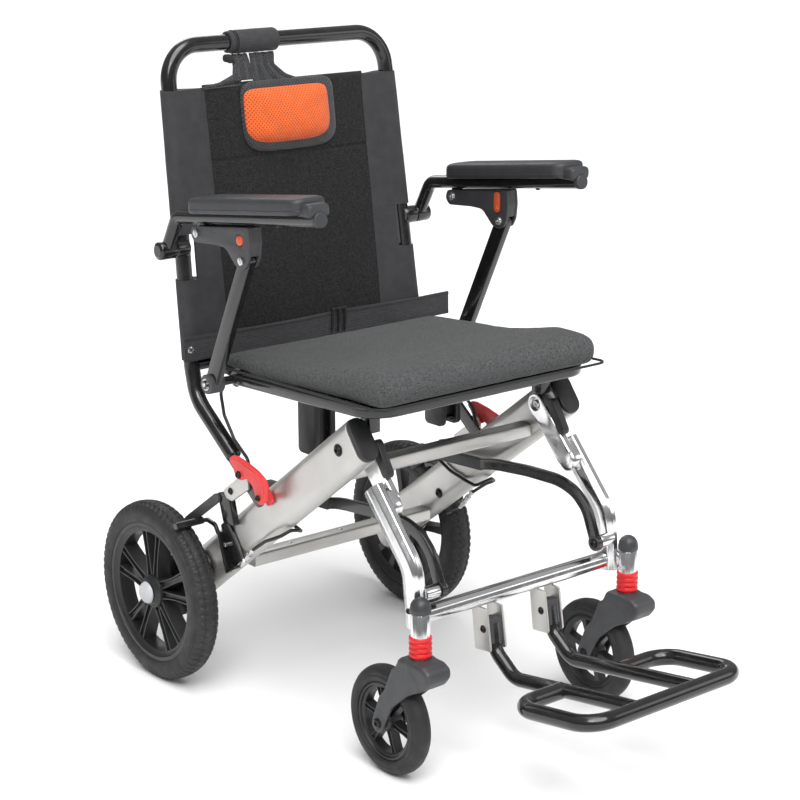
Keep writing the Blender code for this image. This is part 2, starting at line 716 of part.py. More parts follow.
def lap_belt():
    """The belt across the foot of the back, and the flat slide in front of it."""
    low, high = 0.4715, 0.5070
    hang(box("lap_belt", (-0.219, 0.2630, low), (0.256, 0.2650, high), WEBBING), "back_frame")
    hang(box("belt_buckle", (0.032, 0.2575, low + 0.002), (0.059, 0.2625, high + 0.006),
             DARK), "back_frame")


# ---------------------------------------------------------------- seat

def seat_z(y):
    return SEAT_PIVOT[1] + (SEAT_PIVOT[0] - y) * tan(SEAT_SLOPE)


def seat_frame():
    """The rail round the seat, its thin pan, pivot eyes and the tabs that rest on the legs."""
    front = -0.105
    points = [(s * SEAT_HALF, y, seat_z(y)) for s, y in
              ((-1, 0.189), (-1, front), (1, front), (1, 0.189))]
    rail = tube("seat_frame", rounded(points, 0.034), SEAT_TUBE_R, BLACK)
    joined, cut = [], []
    for s in (1, -1):
        joined.append(rod("eye", s * 0.1720, s * 0.1868, SEAT_PIVOT, 0.0112, BLACK))
        cut.append(rod("bore", s * 0.160, s * 0.195, SEAT_PIVOT, 0.0066, None))
        joined.append(box("tab", (s * 0.1490 - 0.0090, -0.064, 0.4325),
                          (s * 0.1490 + 0.0090, -0.044, 0.4720), BLACK))
        joined.append(box("tab_arm", (s * 0.1680 - 0.0120, -0.056, 0.4635),
                          (s * 0.1680 + 0.0120, -0.044, 0.4715), BLACK))
    pan_line = rounded(((-SEAT_HALF, front + 0.004), (SEAT_HALF, front + 0.004),
                        (SEAT_HALF, 0.170), (-SEAT_HALF, 0.170)), (0.031, 0.031, 0, 0), True)
    joined.append(slab("pan", (pan_line,), 0.004, BLACK, (0, 0, seat_z(0.0)),
                       (-SEAT_SLOPE, 0, 0)))
    hang(combine(rail, joined, cut), "seat")


def seat_support(side, s):
    """The upright channel under the seat, inboard of the main tube."""
    outline = rounded(((0.089, 0.449), (0.127, 0.449), (0.127, 0.361), (0.089, 0.361)),
                      0.007, True)
    flanges = [side_plate("flange", (outline,), s * x0, s * x1, BLACK)
               for x0, x1 in ((0.094, 0.103), (0.121, 0.130))]
    web = box("web", (s * 0.112 - 0.010, 0.098, 0.366), (s * 0.112 + 0.010, 0.120, 0.4480),
              BLACK)
    channel = combine(flanges[0], (web, flanges[1]))
    channel.name = f"seat_support_{side}"
    hang(channel, "seat")


def seat_cushion():
    """A wedge of foam, higher in front, notched behind where the back's tongues swing."""
    half, front, rear = 0.194, -0.133, 0.226
    low = SEAT_TUBE_R + GAP
    profile = rounded(((front, seat_z(front) + low), (0.158, seat_z(0.158) + low),
                       (0.166, 0.4722), (rear, 0.4722), (rear, 0.4865), (0.033, 0.5006),
                       (-0.062, 0.5172), (front, 0.5165)),
                      (0.010, 0, 0, 0.004, 0.006, 0.15, 0.1, 0.012), True)
    foam = side_plate("seat_cushion", (profile,), -half, half, CLOTH)
    plan = rounded(((-half, front), (half, front), (half, rear), (-half, rear)),
                   (0.014, 0.014, 0.012, 0.012), True)
    notches = [box("notch", (s * 0.16525 - 0.00325, 0.1800, 0.460),
                   (s * 0.16525 + 0.00325, 0.2400, 0.520), None) for s in (-1, 1)]
    pad = combine(foam, (), notches, (slab("plan", (plan,), 0.2, None, (0, 0, 0.5)),))
    hang(pad, "seat")


# ---------------------------------------------------------------- armrests

def arm_rise(y):
    """The height of the arm tube's centre under the pad."""
    return ARM_REAR[1] + (ARM_REAR[0] - y) * (
        (ARM_FRONT[1] - ARM_REAR[1]) / (ARM_REAR[0] - ARM_FRONT[0]))


def arm_tube(side, s):
    x = s * ARM_X
    path = rounded(((x, *ARM_PIVOT), (x, 0.264, 0.675), (x, *ARM_REAR), (x, *ARM_FRONT)),
                   (0, 0.022, 0.05, 0))
    bar = tube(f"arm_tube_{side}", path, ARM_R, BLACK)
    barrel = rod("barrel", s * 0.2124, s * 0.2385, ARM_PIVOT, 0.0125, BLACK)
    lug = side_plate("lug", (capsule(BRACKET_PIVOT, (0.205, 0.683), 0.0085, 6),),
                     x - 0.0035, x + 0.0035, BLACK)
    hang(combine(bar, (barrel, lug)), f"armrest_{side}")


def arm_pad(side, s):
    """The padded top, grooved underneath for its tube."""
    rear, front, half, tall, lift = 0.208, -0.034, 0.0275, 0.021, 0.0175
    slope = (arm_rise(front) - arm_rise(rear)) / (rear - front)
    middle = (rear + front) / 2
    outline = rounded(((-half, front - middle), (half, front - middle), (half, rear - middle),
                       (-half, rear - middle)), 0.016, True)
    turn = (-slope, 0, 0)
    pad = as_mesh(slab(f"arm_pad_{side}", (outline,), tall, PAD,
                       (s * ARM_X, middle, arm_rise(middle) + lift), turn))
    soften(pad, 0.005)
    nose = box("nose", (s * ARM_X - 0.017, -0.050, arm_rise(front) + 0.0035),
               (s * ARM_X + 0.017, front + 0.018, arm_rise(front) + 0.0215), PAD, 0.005)
    ends = [(s * ARM_X, y, arm_rise(y)) for y in (0.300, -0.070)]
    groove = tube("groove", ends, ARM_R + 0.0010, None)
    hang(combine(pad, (nose,), (groove,)), f"armrest_{side}")


def bracket_outline():
    return rounded(((0.2160, 0.6700), (0.0880, 0.6860), (0.0855, 0.6650), (0.0880, 0.6440),
                    (0.0940, 0.6330), (0.1060, 0.6275), (0.1190, 0.6320), (0.1400, 0.6520),
                    (0.1640, 0.6525), (0.2120, 0.6490), (0.2200, 0.6585)), 0.004, True)


def button_ends(reach):
    """The two ends of the button's long head, above and below the button's centre."""
    return (BUTTON[0], BUTTON[1] - reach), (BUTTON[0], BUTTON[1] + reach)


def arm_bracket(side, s):
    """Two cheeks either side of the strut, joined by a web at the front."""
    slot = capsule(*button_ends(0.0092), 0.0062, 6)
    hole = ring_points(BUTTON, 0.0075, 16)
    outer = side_plate(f"arm_bracket_{side}", (bracket_outline(), hole),
                       s * 0.2280, s * 0.2320, DARK)
    inner = side_plate("inner", (bracket_outline(), slot), s * 0.2120, s * 0.2160, DARK)
    web_line = rounded(((0.0925, 0.6835), (0.0885, 0.6835), (0.0865, 0.6650),
                        (0.0885, 0.6480), (0.0900, 0.6480)), 0.0005, True)
    web = side_plate("web", (web_line,), s * 0.2140, s * 0.2300, DARK)
    pins = [rod("pin", s * x0, s * x1, BRACKET_PIVOT, 0.0055, DARK, 12)
            for x0, x1 in ((0.2140, 0.2180), (0.2260, 0.2300))]
    hang(combine(outer, [web, inner] + pins), f"bracket_{side}")


def arm_button(side, s):
    """The release button: a round head outside, a rod through and a long head inside."""
    head = rod(f"arm_button_{side}", s * 0.2290, s * 0.2345, BUTTON, 0.0069, ORANGE, 20)
    shank = rod("shank", s * 0.2110, s * 0.2300, BUTTON, 0.0030, ORANGE, 10)
    long_head = side_plate("long_head", (capsule(*button_ends(0.0090), 0.0056, 6),),
                           s * 0.2102, s * 0.2142, ORANGE)
    hang(combine(head, (shank, long_head)), f"button_{side}")


def arm_strut(side, s):
    """The flat strut from the seat's rear corner up into the bracket."""
    flat = side_plate(f"arm_strut_{side}", (capsule(SEAT_PIVOT, BRACKET_BOLT, 0.0115),),
                      s * 0.2164, s * 0.2276, BLACK)
    clamp = rod("clamp", s * 0.2100, s * 0.2340, SEAT_PIVOT, 0.0135, BLACK, 20)
    bore = rod("bore", s * 0.205, s * 0.240, SEAT_PIVOT, 0.0066, None)
    hang(combine(flat, (clamp,), (bore,)), f"strut_{side}")


# ---------------------------------------------------------------- assembly

def make_bodies():
    body("chassis", (0, 0, 0))
    body("front_frame", (0, *LEG_PIVOT), "chassis")
    body("back_frame", (0, *BACK_PIVOT), "chassis")
    body("seat", (0, *SEAT_PIVOT), "back_frame")
    body("footrest", (0, *FOOT_PIVOT), "front_frame")
    for side, s in SIDES:
        body(f"lever_{side}", (s * 0.2137, *LEVER_PIVOT), "chassis")
        body(f"rear_wheel_{side}", (s * REAR_X, *AXLE), "chassis")
        body(f"link_{side}", (s * 0.1375, *LINK_PIVOT), "front_frame")
        body(f"caster_{side}", (s * CASTER_X, SWIVEL_Y, POST_BOTTOM), "front_frame")
        body(f"caster_wheel_{side}", (s * CASTER_X, *CASTER_AXLE), f"caster_{side}")
        body(f"armrest_{side}", (s * ARM_X, *ARM_PIVOT), "back_frame")
        body(f"bracket_{side}", (s * ARM_X, *BRACKET_PIVOT), f"armrest_{side}")
        body(f"button_{side}", (s * 0.2318, *BUTTON), f"bracket_{side}")
        body(f"strut_{side}", (s * ARM_X, *SEAT_PIVOT), "back_frame")


PAIRED = (main_tube, tube_cap, axle_housing, hinge_bracket, brake_arm, brake_cable,
          fold_lever, front_leg, post_cap, post_collar, foot_bracket, link_bar, rear_wheel,
          caster, caster_fork, seat_support, arm_tube, arm_pad, arm_bracket, arm_button,
          arm_strut)
SINGLE = (crossbars, front_crossbar, footrest, back_tube, back_sling, headrest,
          handle_strap, lap_belt, seat_frame, seat_cushion)

make_bodies()
for make in PAIRED:
    for side_name, sign in SIDES:
        make(side_name, sign)
for make in SINGLE:
    make()
bpy.context.view_layer.update()
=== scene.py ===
"""Visual model of a folding transport wheelchair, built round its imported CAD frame.

Metres, +Z up. The chair faces -Y and its left side is at +X.
"""
from math import ceil, cos, pi, radians, sin, tan

import bmesh
import bpy
import numpy as np
from mathutils import Matrix, Vector, noise


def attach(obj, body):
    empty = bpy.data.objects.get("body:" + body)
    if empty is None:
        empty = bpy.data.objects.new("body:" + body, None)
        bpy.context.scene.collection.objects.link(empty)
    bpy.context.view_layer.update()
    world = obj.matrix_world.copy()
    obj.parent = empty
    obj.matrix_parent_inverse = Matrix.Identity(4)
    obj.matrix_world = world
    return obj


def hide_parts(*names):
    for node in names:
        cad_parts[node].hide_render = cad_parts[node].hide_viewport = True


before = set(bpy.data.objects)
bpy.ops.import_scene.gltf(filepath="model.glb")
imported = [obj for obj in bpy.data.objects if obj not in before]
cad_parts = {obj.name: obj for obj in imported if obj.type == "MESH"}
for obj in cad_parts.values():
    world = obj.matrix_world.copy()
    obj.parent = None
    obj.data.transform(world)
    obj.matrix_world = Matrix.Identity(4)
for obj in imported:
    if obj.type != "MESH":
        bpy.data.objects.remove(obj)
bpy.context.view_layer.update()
SIDES = (("left", 1), ("right", -1))

# Places and sizes shared with the frame, as (Y, Z) unless they say otherwise
AXLE = (0.325, 0.130)
REAR_X, CASTER_X = 0.233, 0.183
CASTER_AXLE = (-0.1335, 0.073)
SWIVEL_Y = -0.1935
TUBE_X, TUBE_WIDE, TUBE_TALL, TUBE_LENGTH = 0.1765, 0.034, 0.063, 0.4905
TUBE_INNER, TUBE_OUTER = TUBE_X - TUBE_WIDE / 2, TUBE_X + TUBE_WIDE / 2
TUBE_FRONT, TUBE_SLOPE = (-0.070, 0.429), radians(37.3)
LEG_PIVOT = (-0.044, 0.414)
BACK_PIVOT = (0.1197, 0.3091)
FRONT_BAR = (-0.170, 0.2205)
LINK_X, LINK_PIVOT = 0.1368, (-0.178, 0.2515)
LEVER_PIVOT = (0.1456, 0.3402)
ARCH_X, PLATE_X, CABLE_X = 0.2040, 0.1942, 0.1988
FOOT_PIVOT, FOOT_ARM_X = (-0.180, 0.178), 0.051
SEAT_PIVOT, SEAT_SLOPE, SEAT_HALF = (0.191, 0.459), radians(2.5), 0.183
BACK_FOOT, HANDLE = (0.277, 0.462), (0.3345, 0.892)
PANEL_HALF, PANEL_LOW, PANEL_TOP = 0.1375, 0.4725, 0.8340
ARM_X, ARM_PIVOT = 0.222, (0.292, 0.625)
ARM_REAR, ARM_FRONT = (0.223, 0.680), (-0.052, 0.7138)
BRACKET_PIVOT, BRACKET_BOLT, BUTTON = (0.205, 0.662), (0.104, 0.640), (0.108, 0.666)
INNER_CHEEK, OUTER_CHEEK, SLOT_REACH = (0.2120, 0.2160), (0.2280, 0.2320), 0.0092


# ---------------------------------------------------------------- camera, light and floor

def linked(name, data):
    """A new object with this data, placed in the scene."""
    obj = bpy.data.objects.new(name, data)
    bpy.context.scene.collection.objects.link(obj)
    return obj


def add_camera():
    data = bpy.data.cameras.new("camera")
    data.lens, data.sensor_width = 92.29, 36.0
    camera = linked("camera", data)
    turn, rise, roll = radians(-39.492), radians(15.309), radians(-0.157)
    back = Vector((sin(turn) * cos(rise), -cos(turn) * cos(rise), sin(rise)))
    right = Vector((cos(turn), sin(turn), 0))
    up = back.cross(right)
    across = right * cos(roll) + up * sin(roll)
    upright = up * cos(roll) - right * sin(roll)
    placed = Matrix((across, upright, back)).transposed().to_4x4()
    placed.translation = (-1.7167, -2.0159, 1.1615)
    camera.matrix_world = placed
    bpy.context.scene.camera = camera


def add_light(name, at, look, size, power):
    data = bpy.data.lights.new(name, "AREA")
    data.shape, data.size, data.energy = "DISK", size, power
    lamp = linked(name, data)
    lamp.location = at
    lamp.rotation_euler = (Vector(look) - Vector(at)).to_track_quat("-Z", "Y").to_euler()


def add_world():
    """Soft surroundings: darker at the horizon than overhead, for reflections in the tubes."""
    world = bpy.data.worlds.new("studio")
    world.use_nodes = True
    nodes, links = world.node_tree.nodes, world.node_tree.links
    coordinate = nodes.new("ShaderNodeTexCoord")
    split = nodes.new("ShaderNodeSeparateXYZ")
    ramp = nodes.new("ShaderNodeValToRGB")
    stops = ramp.color_ramp.elements
    for place in (0.47, 0.57):
        stops.new(place)
    for stop, place, shade in zip(stops, (0.30, 0.48, 0.58, 0.85), (0.55, 0.20, 0.42, 0.75)):
        stop.position, stop.color = place, (shade, shade, shade, 1)
    shift = nodes.new("ShaderNodeMapRange")
    shift.inputs["From Min"].default_value = -1.0
    links.new(coordinate.outputs["Generated"], split.inputs[0])
    links.new(split.outputs["Z"], shift.inputs["Value"])
    links.new(shift.outputs["Result"], ramp.inputs["Fac"])
    links.new(ramp.outputs["Color"], nodes["Background"].inputs["Color"])
    nodes["Background"].inputs["Strength"].default_value = 0.55
    bpy.context.scene.world = world


def add_lights():
    """A broad sun that keeps the floor evenly pale, and four weaker discs that model the form."""
    middle = (0, 0, 0.45)
    sun = bpy.data.lights.new("sun", "SUN")
    sun.energy, sun.angle = 2.9, radians(50)
    linked("sun", sun).rotation_euler = (radians(28), radians(-14), 0)
    add_light("key", (-2.3, -2.0, 2.9), middle, 1.4, 26)
    add_light("fill", (2.6, -2.2, 1.8), middle, 1.6, 10)
    add_light("rim", (1.2, 2.9, 2.6), middle, 1.6, 22)
    add_light("top", (-0.2, 0.0, 3.6), middle, 1.6, 12)


def add_floor():
    half, below = 40, 0.0005
    mesh = bpy.data.meshes.new("floor")
    mesh.from_pydata([(-half, -half, 0), (half, -half, 0), (half, half, 0), (-half, half, 0)], [],
                     [(0, 1, 2, 3)])
    floor = linked("floor", mesh)
    floor.location.z = -below
    paint = bpy.data.materials.new("floor_white")
    paint.use_nodes = True
    shader = paint.node_tree.nodes["Principled BSDF"]
    shader.inputs["Base Color"].default_value = (0.97, 0.97, 0.97, 1)
    shader.inputs["Roughness"].default_value = 1.0
    shader.inputs["Specular IOR Level"].default_value = 0.0
    floor.data.materials.append(paint)


add_camera()
add_world()
add_lights()
add_floor()
bpy.context.scene.view_settings.view_transform = "Standard"


# ---------------------------------------------------------------- materials

class Surface:
    """A Principled material and the procedural nodes that feed it, in object coordinates."""

    def __init__(self, name, colour, rough, metal=0.0, **constants):
        self.material = bpy.data.materials.new(name)
        self.material.use_nodes = True
        self.tree = self.material.node_tree
        self.shader = self.tree.nodes["Principled BSDF"]
        self.shader.inputs["Base Color"].default_value = (*colour, 1)
        self.shader.inputs["Roughness"].default_value = rough
        self.shader.inputs["Metallic"].default_value = metal
        for key, value in constants.items():
            socket = self.shader.inputs[key.replace("_", " ").title().replace("Ior", "IOR")]
            socket.default_value = value
        self.colour, self.rough = colour, rough
        self.place = self.node("ShaderNodeTexCoord").outputs["Object"]
        self.material.diffuse_color = (*colour, 1)

    def node(self, kind, values=(), **settings):
        made = self.tree.nodes.new(kind)
        for key, value in settings.items():
            setattr(made, key, value)
        for key, value in values:
            if isinstance(value, bpy.types.NodeSocket):
                self.tree.links.new(value, made.inputs[key])
            else:
                made.inputs[key].default_value = value
        return made

    def mapped(self, stretch=(1, 1, 1), turn=(0, 0, 0)):
        return self.node("ShaderNodeMapping", (("Vector", self.place), ("Scale", stretch),
                                               ("Rotation", turn))).outputs["Vector"]

    def noise(self, scale, detail=2.0, stretch=None):
        where = self.mapped(stretch) if stretch else self.place
        return self.node("ShaderNodeTexNoise", (("Vector", where), ("Scale", scale),
                                                ("Detail", detail))).outputs["Fac"]

    def span(self, value, low, high, start=0.3, end=0.7):
        return self.node("ShaderNodeMapRange", (("Value", value), ("From Min", start),
                                                ("From Max", end), ("To Min", low),
                                                ("To Max", high))).outputs["Result"]

    def math(self, operation, one, two=0.0):
        return self.node("ShaderNodeMath", ((0, one), (1, two)),
                         operation=operation).outputs[0]

    def blend(self, share, one, two):
        mixed = self.node("ShaderNodeMix", (("Factor", share),), data_type="RGBA")
        for key, value in (("A", one), ("B", two)):
            socket = [s for s in mixed.inputs if s.name == key and s.type == "RGBA"][0]
            if isinstance(value, bpy.types.NodeSocket):
                self.tree.links.new(value, socket)
            else:
                socket.default_value = (*value, 1)
        return [s for s in mixed.outputs if s.type == "RGBA"][0]

    def paint(self, socket):
        self.tree.links.new(socket, self.shader.inputs["Base Color"])
        return self

    def mottle(self, scale, amount, detail=3.0, stretch=None):
        """Colour that drifts between a darker and a lighter shade."""
        dark = [c * (1 - amount) for c in self.colour]
        light = [c * (1 + amount) for c in self.colour]
        share = self.span(self.noise(scale, detail, stretch), 0.0, 1.0)
        return self.paint(self.blend(share, dark, light))

    def uneven(self, scale, amount, stretch=None):
        """Roughness that varies by amount either way."""
        value = self.span(self.noise(scale, 3.0, stretch), self.rough - amount,
                          self.rough + amount)
        self.tree.links.new(value, self.shader.inputs["Roughness"])
        return self

    def raised(self, height, distance, strength=1.0):
        """Bump from a height socket."""
        bump = self.node("ShaderNodeBump", (("Height", height), ("Distance", distance),
                                            ("Strength", strength)))
        self.tree.links.new(bump.outputs["Normal"], self.shader.inputs["Normal"])
        return self

    def worn(self, lighter, start=0.53, end=0.60):
        """Slightly lighter convex edges, where handling rubs the surface."""
        edge = self.node("ShaderNodeNewGeometry").outputs["Pointiness"]
        share = self.span(edge, 0.0, 0.5, start, end)
        link = self.shader.inputs["Base Color"].links
        base = link[0].from_socket if link else self.colour
        return self.paint(self.blend(share, base, lighter))

    def heather(self, dark, light, scale, share=0.5, weave=900.0, height=0.0004):
        """Light and dark threads mixed in one cloth, with a fine woven relief."""
        grains = self.span(self.noise(scale, 3.0), 0.0, 1.0, 0.5 - 0.13 * share, 0.63 - 0.1 * share)
        clumps = self.span(self.noise(scale * 0.24, 2.0), -0.18, 0.18)
        mix = self.math("ADD", grains, clumps)
        self.paint(self.blend(self.node("ShaderNodeClamp", ((0, mix),)).outputs[0],
                              dark, light))
        waves = [self.node("ShaderNodeTexWave", (("Vector", self.mapped(turn=turned)),
                                                 ("Scale", weave / 20), ("Distortion", 1.2),
                                                 ("Detail", 1.0))).outputs["Fac"]
                 for turned in ((0.3, 0.2, pi / 4), (0.3, -0.2, -pi / 4))]
        woven = self.math("MULTIPLY", *waves)
        return self.raised(self.math("ADD", woven, self.math("MULTIPLY", grains, 0.6)), height)

    def holes(self, pitch, dark, depth=0.0006):
        """Knitted mesh: rows of small round holes, each row shifted by half a step."""
        cells = self.node("ShaderNodeTexVoronoi", (("Vector", self.mapped(
            (1 / pitch, 0.0, 1 / pitch * 0.86), (0, pi / 4, 0))), ("Scale", 1.0),
            ("Randomness", 0.0)))
        hole = self.span(cells.outputs["Distance"], 1.0, 0.0, 0.20, 0.34)
        base = self.shader.inputs["Base Color"].links
        light = base[0].from_socket if base else self.colour
        # Painted shade: the holes take the darker colour for the shade that lies down in the knit.
        self.paint(self.blend(hole, light, dark))
        return self.raised(self.math("SUBTRACT", 1.0, hole), depth)


def add_metals(made):
    made["black"] = Surface("gloss_black_paint", (0.0095, 0.0095, 0.0102), 0.20,
                            coat_weight=0.35, coat_roughness=0.09)
    made["black"].mottle(55, 0.35).uneven(70, 0.07).worn((0.05, 0.05, 0.052), 0.55, 0.66)
    made["black"].raised(made["black"].noise(420, 2.0), 0.00003)
    made["silver"] = Surface("satin_silver_tube", (0.56, 0.55, 0.53), 0.36, 0.82)
    made["silver"].mottle(14, 0.07).uneven(260, 0.06, (1, 0.12, 0.12))
    made["silver"].raised(made["silver"].noise(1500, 2.0, (1, 0.06, 0.06)), 0.00004)
    made["bright"] = Surface("polished_aluminium", (0.78, 0.78, 0.79), 0.17, 1.0)
    made["bright"].mottle(24, 0.05).uneven(150, 0.05, (1, 1, 0.1))
    made["bright"].raised(made["bright"].noise(1300, 2.0, (1, 1, 0.03)), 0.00003)
    made["steel"] = Surface("zinc_plated_steel", (0.60, 0.60, 0.61), 0.24, 1.0)
    made["steel"].mottle(300, 0.12).uneven(500, 0.08)
    made["black_bolt"] = Surface("blackened_bolt", (0.018, 0.018, 0.019), 0.34, 0.5)
    made["black_bolt"].mottle(400, 0.3).uneven(500, 0.08)


def add_plastics(made):
    for name, label, colour, rough in (
            ("plastic", "dark_grey_plastic", (0.046, 0.047, 0.051), 0.46),
            ("rim", "black_rim_plastic", (0.0135, 0.0135, 0.0145), 0.40),
            ("red", "red_plastic", (0.72, 0.035, 0.036), 0.36),
            ("collar", "red_collar_plastic", (0.66, 0.010, 0.014), 0.34),
            ("orange", "orange_plastic", (0.66, 0.105, 0.036), 0.42),
            ("hub", "light_grey_plastic", (0.50, 0.51, 0.53), 0.38),
            ("sleeve", "grey_sleeve_plastic", (0.040, 0.041, 0.045), 0.40)):
        made[name] = Surface(label, colour, rough)
        made[name].mottle(38, 0.13).uneven(90, 0.06)
        made[name].worn([min(1.0, c * 1.5 + 0.01) for c in colour])
        made[name].raised(made[name].noise(1700, 2.0), 0.00005)


def add_rubber(made):
    made["cable"] = Surface("cable_sheath", (0.010, 0.010, 0.011), 0.42)
    made["cable"].mottle(200, 0.3).raised(made["cable"].noise(900), 0.00005)
    tyre = made["tyre"] = Surface("tyre_rubber", (0.0150, 0.0150, 0.0158), 0.62)
    dust = tyre.span(tyre.noise(26, 5.0), 0.0, 0.5, 0.42, 0.78)
    tyre.paint(tyre.blend(dust, (0.0135, 0.0135, 0.0145), (0.040, 0.039, 0.038)))
    tyre.uneven(60, 0.10).raised(tyre.noise(1300, 3.0), 0.00012)
    pad = made["pad"] = Surface("arm_pad_skin", (0.036, 0.037, 0.041), 0.50)
    pad.mottle(45, 0.10).uneven(60, 0.06)
    pebbles = pad.node("ShaderNodeTexVoronoi", (("Vector", pad.place), ("Scale", 820.0)))
    pad.raised(pebbles.outputs["Distance"], 0.00010)


def add_cloths(made):
    made["seat_cloth"] = Surface("seat_heather", (0.07, 0.072, 0.073), 0.93, sheen_weight=0.10,
                                 sheen_roughness=0.5, specular_ior_level=0.15)
    made["seat_cloth"].heather((0.028, 0.029, 0.030), (0.135, 0.139, 0.140), 1250)
    made["back_cloth"] = Surface("back_heather", (0.020, 0.020, 0.021), 0.95, sheen_weight=0.04,
                                 sheen_roughness=0.5, specular_ior_level=0.15)
    made["back_cloth"].heather((0.0085, 0.0085, 0.009), (0.042, 0.042, 0.043), 1150, 0.35)
    made["band"] = Surface("grey_band_cloth", (0.040, 0.040, 0.043), 0.74, sheen_weight=0.06,
                           sheen_roughness=0.4, specular_ior_level=0.3)
    made["binding"] = Surface("black_binding", (0.010, 0.010, 0.011), 0.80, sheen_weight=0.1)
    for name, pitch in (("band", 1400.0), ("binding", 1100.0)):
        cloth = made[name].mottle(60, 0.12)
        threads = [cloth.node("ShaderNodeTexWave", (("Vector", cloth.mapped(turn=t)),
                                                    ("Scale", pitch / 20))).outputs["Fac"]
                   for t in ((0, 0, 0.2), (0, pi / 2, 0.2))]
        cloth.raised(cloth.math("MULTIPLY", *threads), 0.00012)
    web = made["webbing"] = Surface("grey_webbing", (0.042, 0.042, 0.045), 0.66,
                                    sheen_weight=0.06, sheen_roughness=0.4,
                                    specular_ior_level=0.3)
    web.mottle(130, 0.14)
    ribs = web.node("ShaderNodeTexWave", (("Vector", web.mapped(turn=(0, pi / 2, 0))),
                                          ("Scale", 105.0), ("Distortion", 0.4)))
    web.raised(ribs.outputs["Fac"], 0.00025)
    made["orange_mesh"] = Surface("orange_air_mesh", (0.86, 0.135, 0.012), 0.72,
                                  sheen_weight=0.2)
    # The darker orange in the holes is painted shade.
    made["orange_mesh"].mottle(70, 0.10).holes(0.0036, (0.42, 0.035, 0.004))
    made["black_mesh"] = Surface("black_air_mesh", (0.020, 0.021, 0.026), 0.60,
                                 sheen_weight=0.3)
    # The near-black in the holes is painted shade.
    made["black_mesh"].mottle(90, 0.5).holes(0.0036, (0.002, 0.002, 0.003), 0.0009)


def make_looks():
    surfaces = {}
    for add in (add_metals, add_plastics, add_rubber, add_cloths):
        add(surfaces)
    return {name: surface.material for name, surface in surfaces.items()}


LOOK = make_looks()


# ---------------------------------------------------------------- shape helpers

def finish_mesh(obj, angle=38.0):
    """Faces turned outwards, and smooth except at sharp edges."""
    bm = bmesh.new()
    bm.from_mesh(obj.data)
    bmesh.ops.recalc_face_normals(bm, faces=bm.faces)
    bm.to_mesh(obj.data)
    bm.free()
    obj.data.shade_smooth()
    obj.data.set_sharp_from_angle(angle=radians(angle))
    return obj


def made(name, points, faces, angle=38.0):
    mesh = bpy.data.meshes.new(name)
    mesh.from_pydata([tuple(p) for p in points], [], faces)
    mesh.update()
    return finish_mesh(linked(name, mesh), angle)


def put(obj, look, body, *nodes):
    """Gives a piece its look and its body, and hides the CAD nodes it stands for."""
    obj.data.materials.clear()
    obj.data.materials.append(LOOK[look])
    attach(obj, body)
    if nodes:
        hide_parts(*nodes)
    return obj


def joined(name, objs):
    """Several separate shapes as one object."""
    bm = bmesh.new()
    for obj in objs:
        obj.data.transform(obj.matrix_world)
        bm.from_mesh(obj.data)
        bpy.data.objects.remove(obj, do_unlink=True)
    mesh = bpy.data.meshes.new(name)
    bm.to_mesh(mesh)
    bm.free()
    mesh.shade_smooth()
    mesh.set_sharp_from_angle(angle=radians(38))
    return linked(name, mesh)


def applied(obj):
    """The object with its modifiers applied."""
    bpy.context.view_layer.update()
    shown = obj.evaluated_get(bpy.context.evaluated_depsgraph_get())
    mesh = bpy.data.meshes.new_from_object(shown)
    old = obj.data
    obj.modifiers.clear()
    obj.data = mesh
    bpy.data.meshes.remove(old)
    return obj


def combined(obj, tool, operation):
    """The object joined with the tool, or cut by it. The tool is used up."""
    step = obj.modifiers.new("combine", "BOOLEAN")
    step.operation, step.object, step.solver = operation, tool, "EXACT"
    applied(obj)
    bpy.data.objects.remove(tool, do_unlink=True)


def thickened(obj, thickness, offset=0.0):
    """An open sheet given its cloth thickness."""
    cloth = obj.modifiers.new("cloth", "SOLIDIFY")
    cloth.thickness, cloth.offset = thickness, offset
    return obj


def sheet_faces(rows, cols):
    """The quads of a sheet whose points run row by row."""
    wide = cols + 1
    return [(a, a + 1, a + wide + 1, a + wide)
            for i in range(rows) for a in range(i * wide, i * wide + cols)]


def loft_faces(rings, size, closed=False):
    """The quads between neighbouring rings of points, and two end caps unless it is closed."""
    faces = []
    for i in range(rings if closed else rings - 1):
        j = (i + 1) % rings
        faces += [(i * size + m, i * size + (m + 1) % size, j * size + (m + 1) % size,
                   j * size + m) for m in range(size)]
    if not closed:
        faces += [tuple(range(size - 1, -1, -1)),
                  tuple((rings - 1) * size + m for m in range(size))]
    return faces


def rounded(points, radius, closed=False, step=9.0):
    """A path or outline with its corners turned into fine arcs."""
    points = [Vector(p).to_3d() for p in points]
    radii = radius if isinstance(radius, (list, tuple)) else [radius] * len(points)
    found = []
    for k, corner in enumerate(points):
        if (not closed and k in (0, len(points) - 1)) or radii[k] <= 0:
            found.append(corner)
            continue
        one = (points[k - 1] - corner).normalized()
        two = (points[(k + 1) % len(points)] - corner).normalized()
        turn = pi - one.angle(two)
        if turn < radians(1):
            found.append(corner)
            continue
        centre = corner + (one + two).normalized() * (radii[k] / cos(turn / 2))
        start = corner + one * radii[k] * tan(turn / 2) - centre
        axis = start.cross(corner + two * radii[k] * tan(turn / 2) - centre).normalized()
        steps = max(2, ceil(turn / radians(step)))
        found += [centre + Matrix.Rotation(turn * j / steps, 3, axis) @ start
                  for j in range(steps + 1)]
    return found


def ring(radius, sides=28, flutes=0, depth=0.0, tall=None):
    """A round or oval section, with shallow flutes if asked."""
    found = []
    for k in range(sides):
        a = 2 * pi * k / sides
        r = 1 - depth * abs(sin(flutes * a / 2))
        found.append((radius * r * cos(a), (tall or radius) * r * sin(a)))
    return found


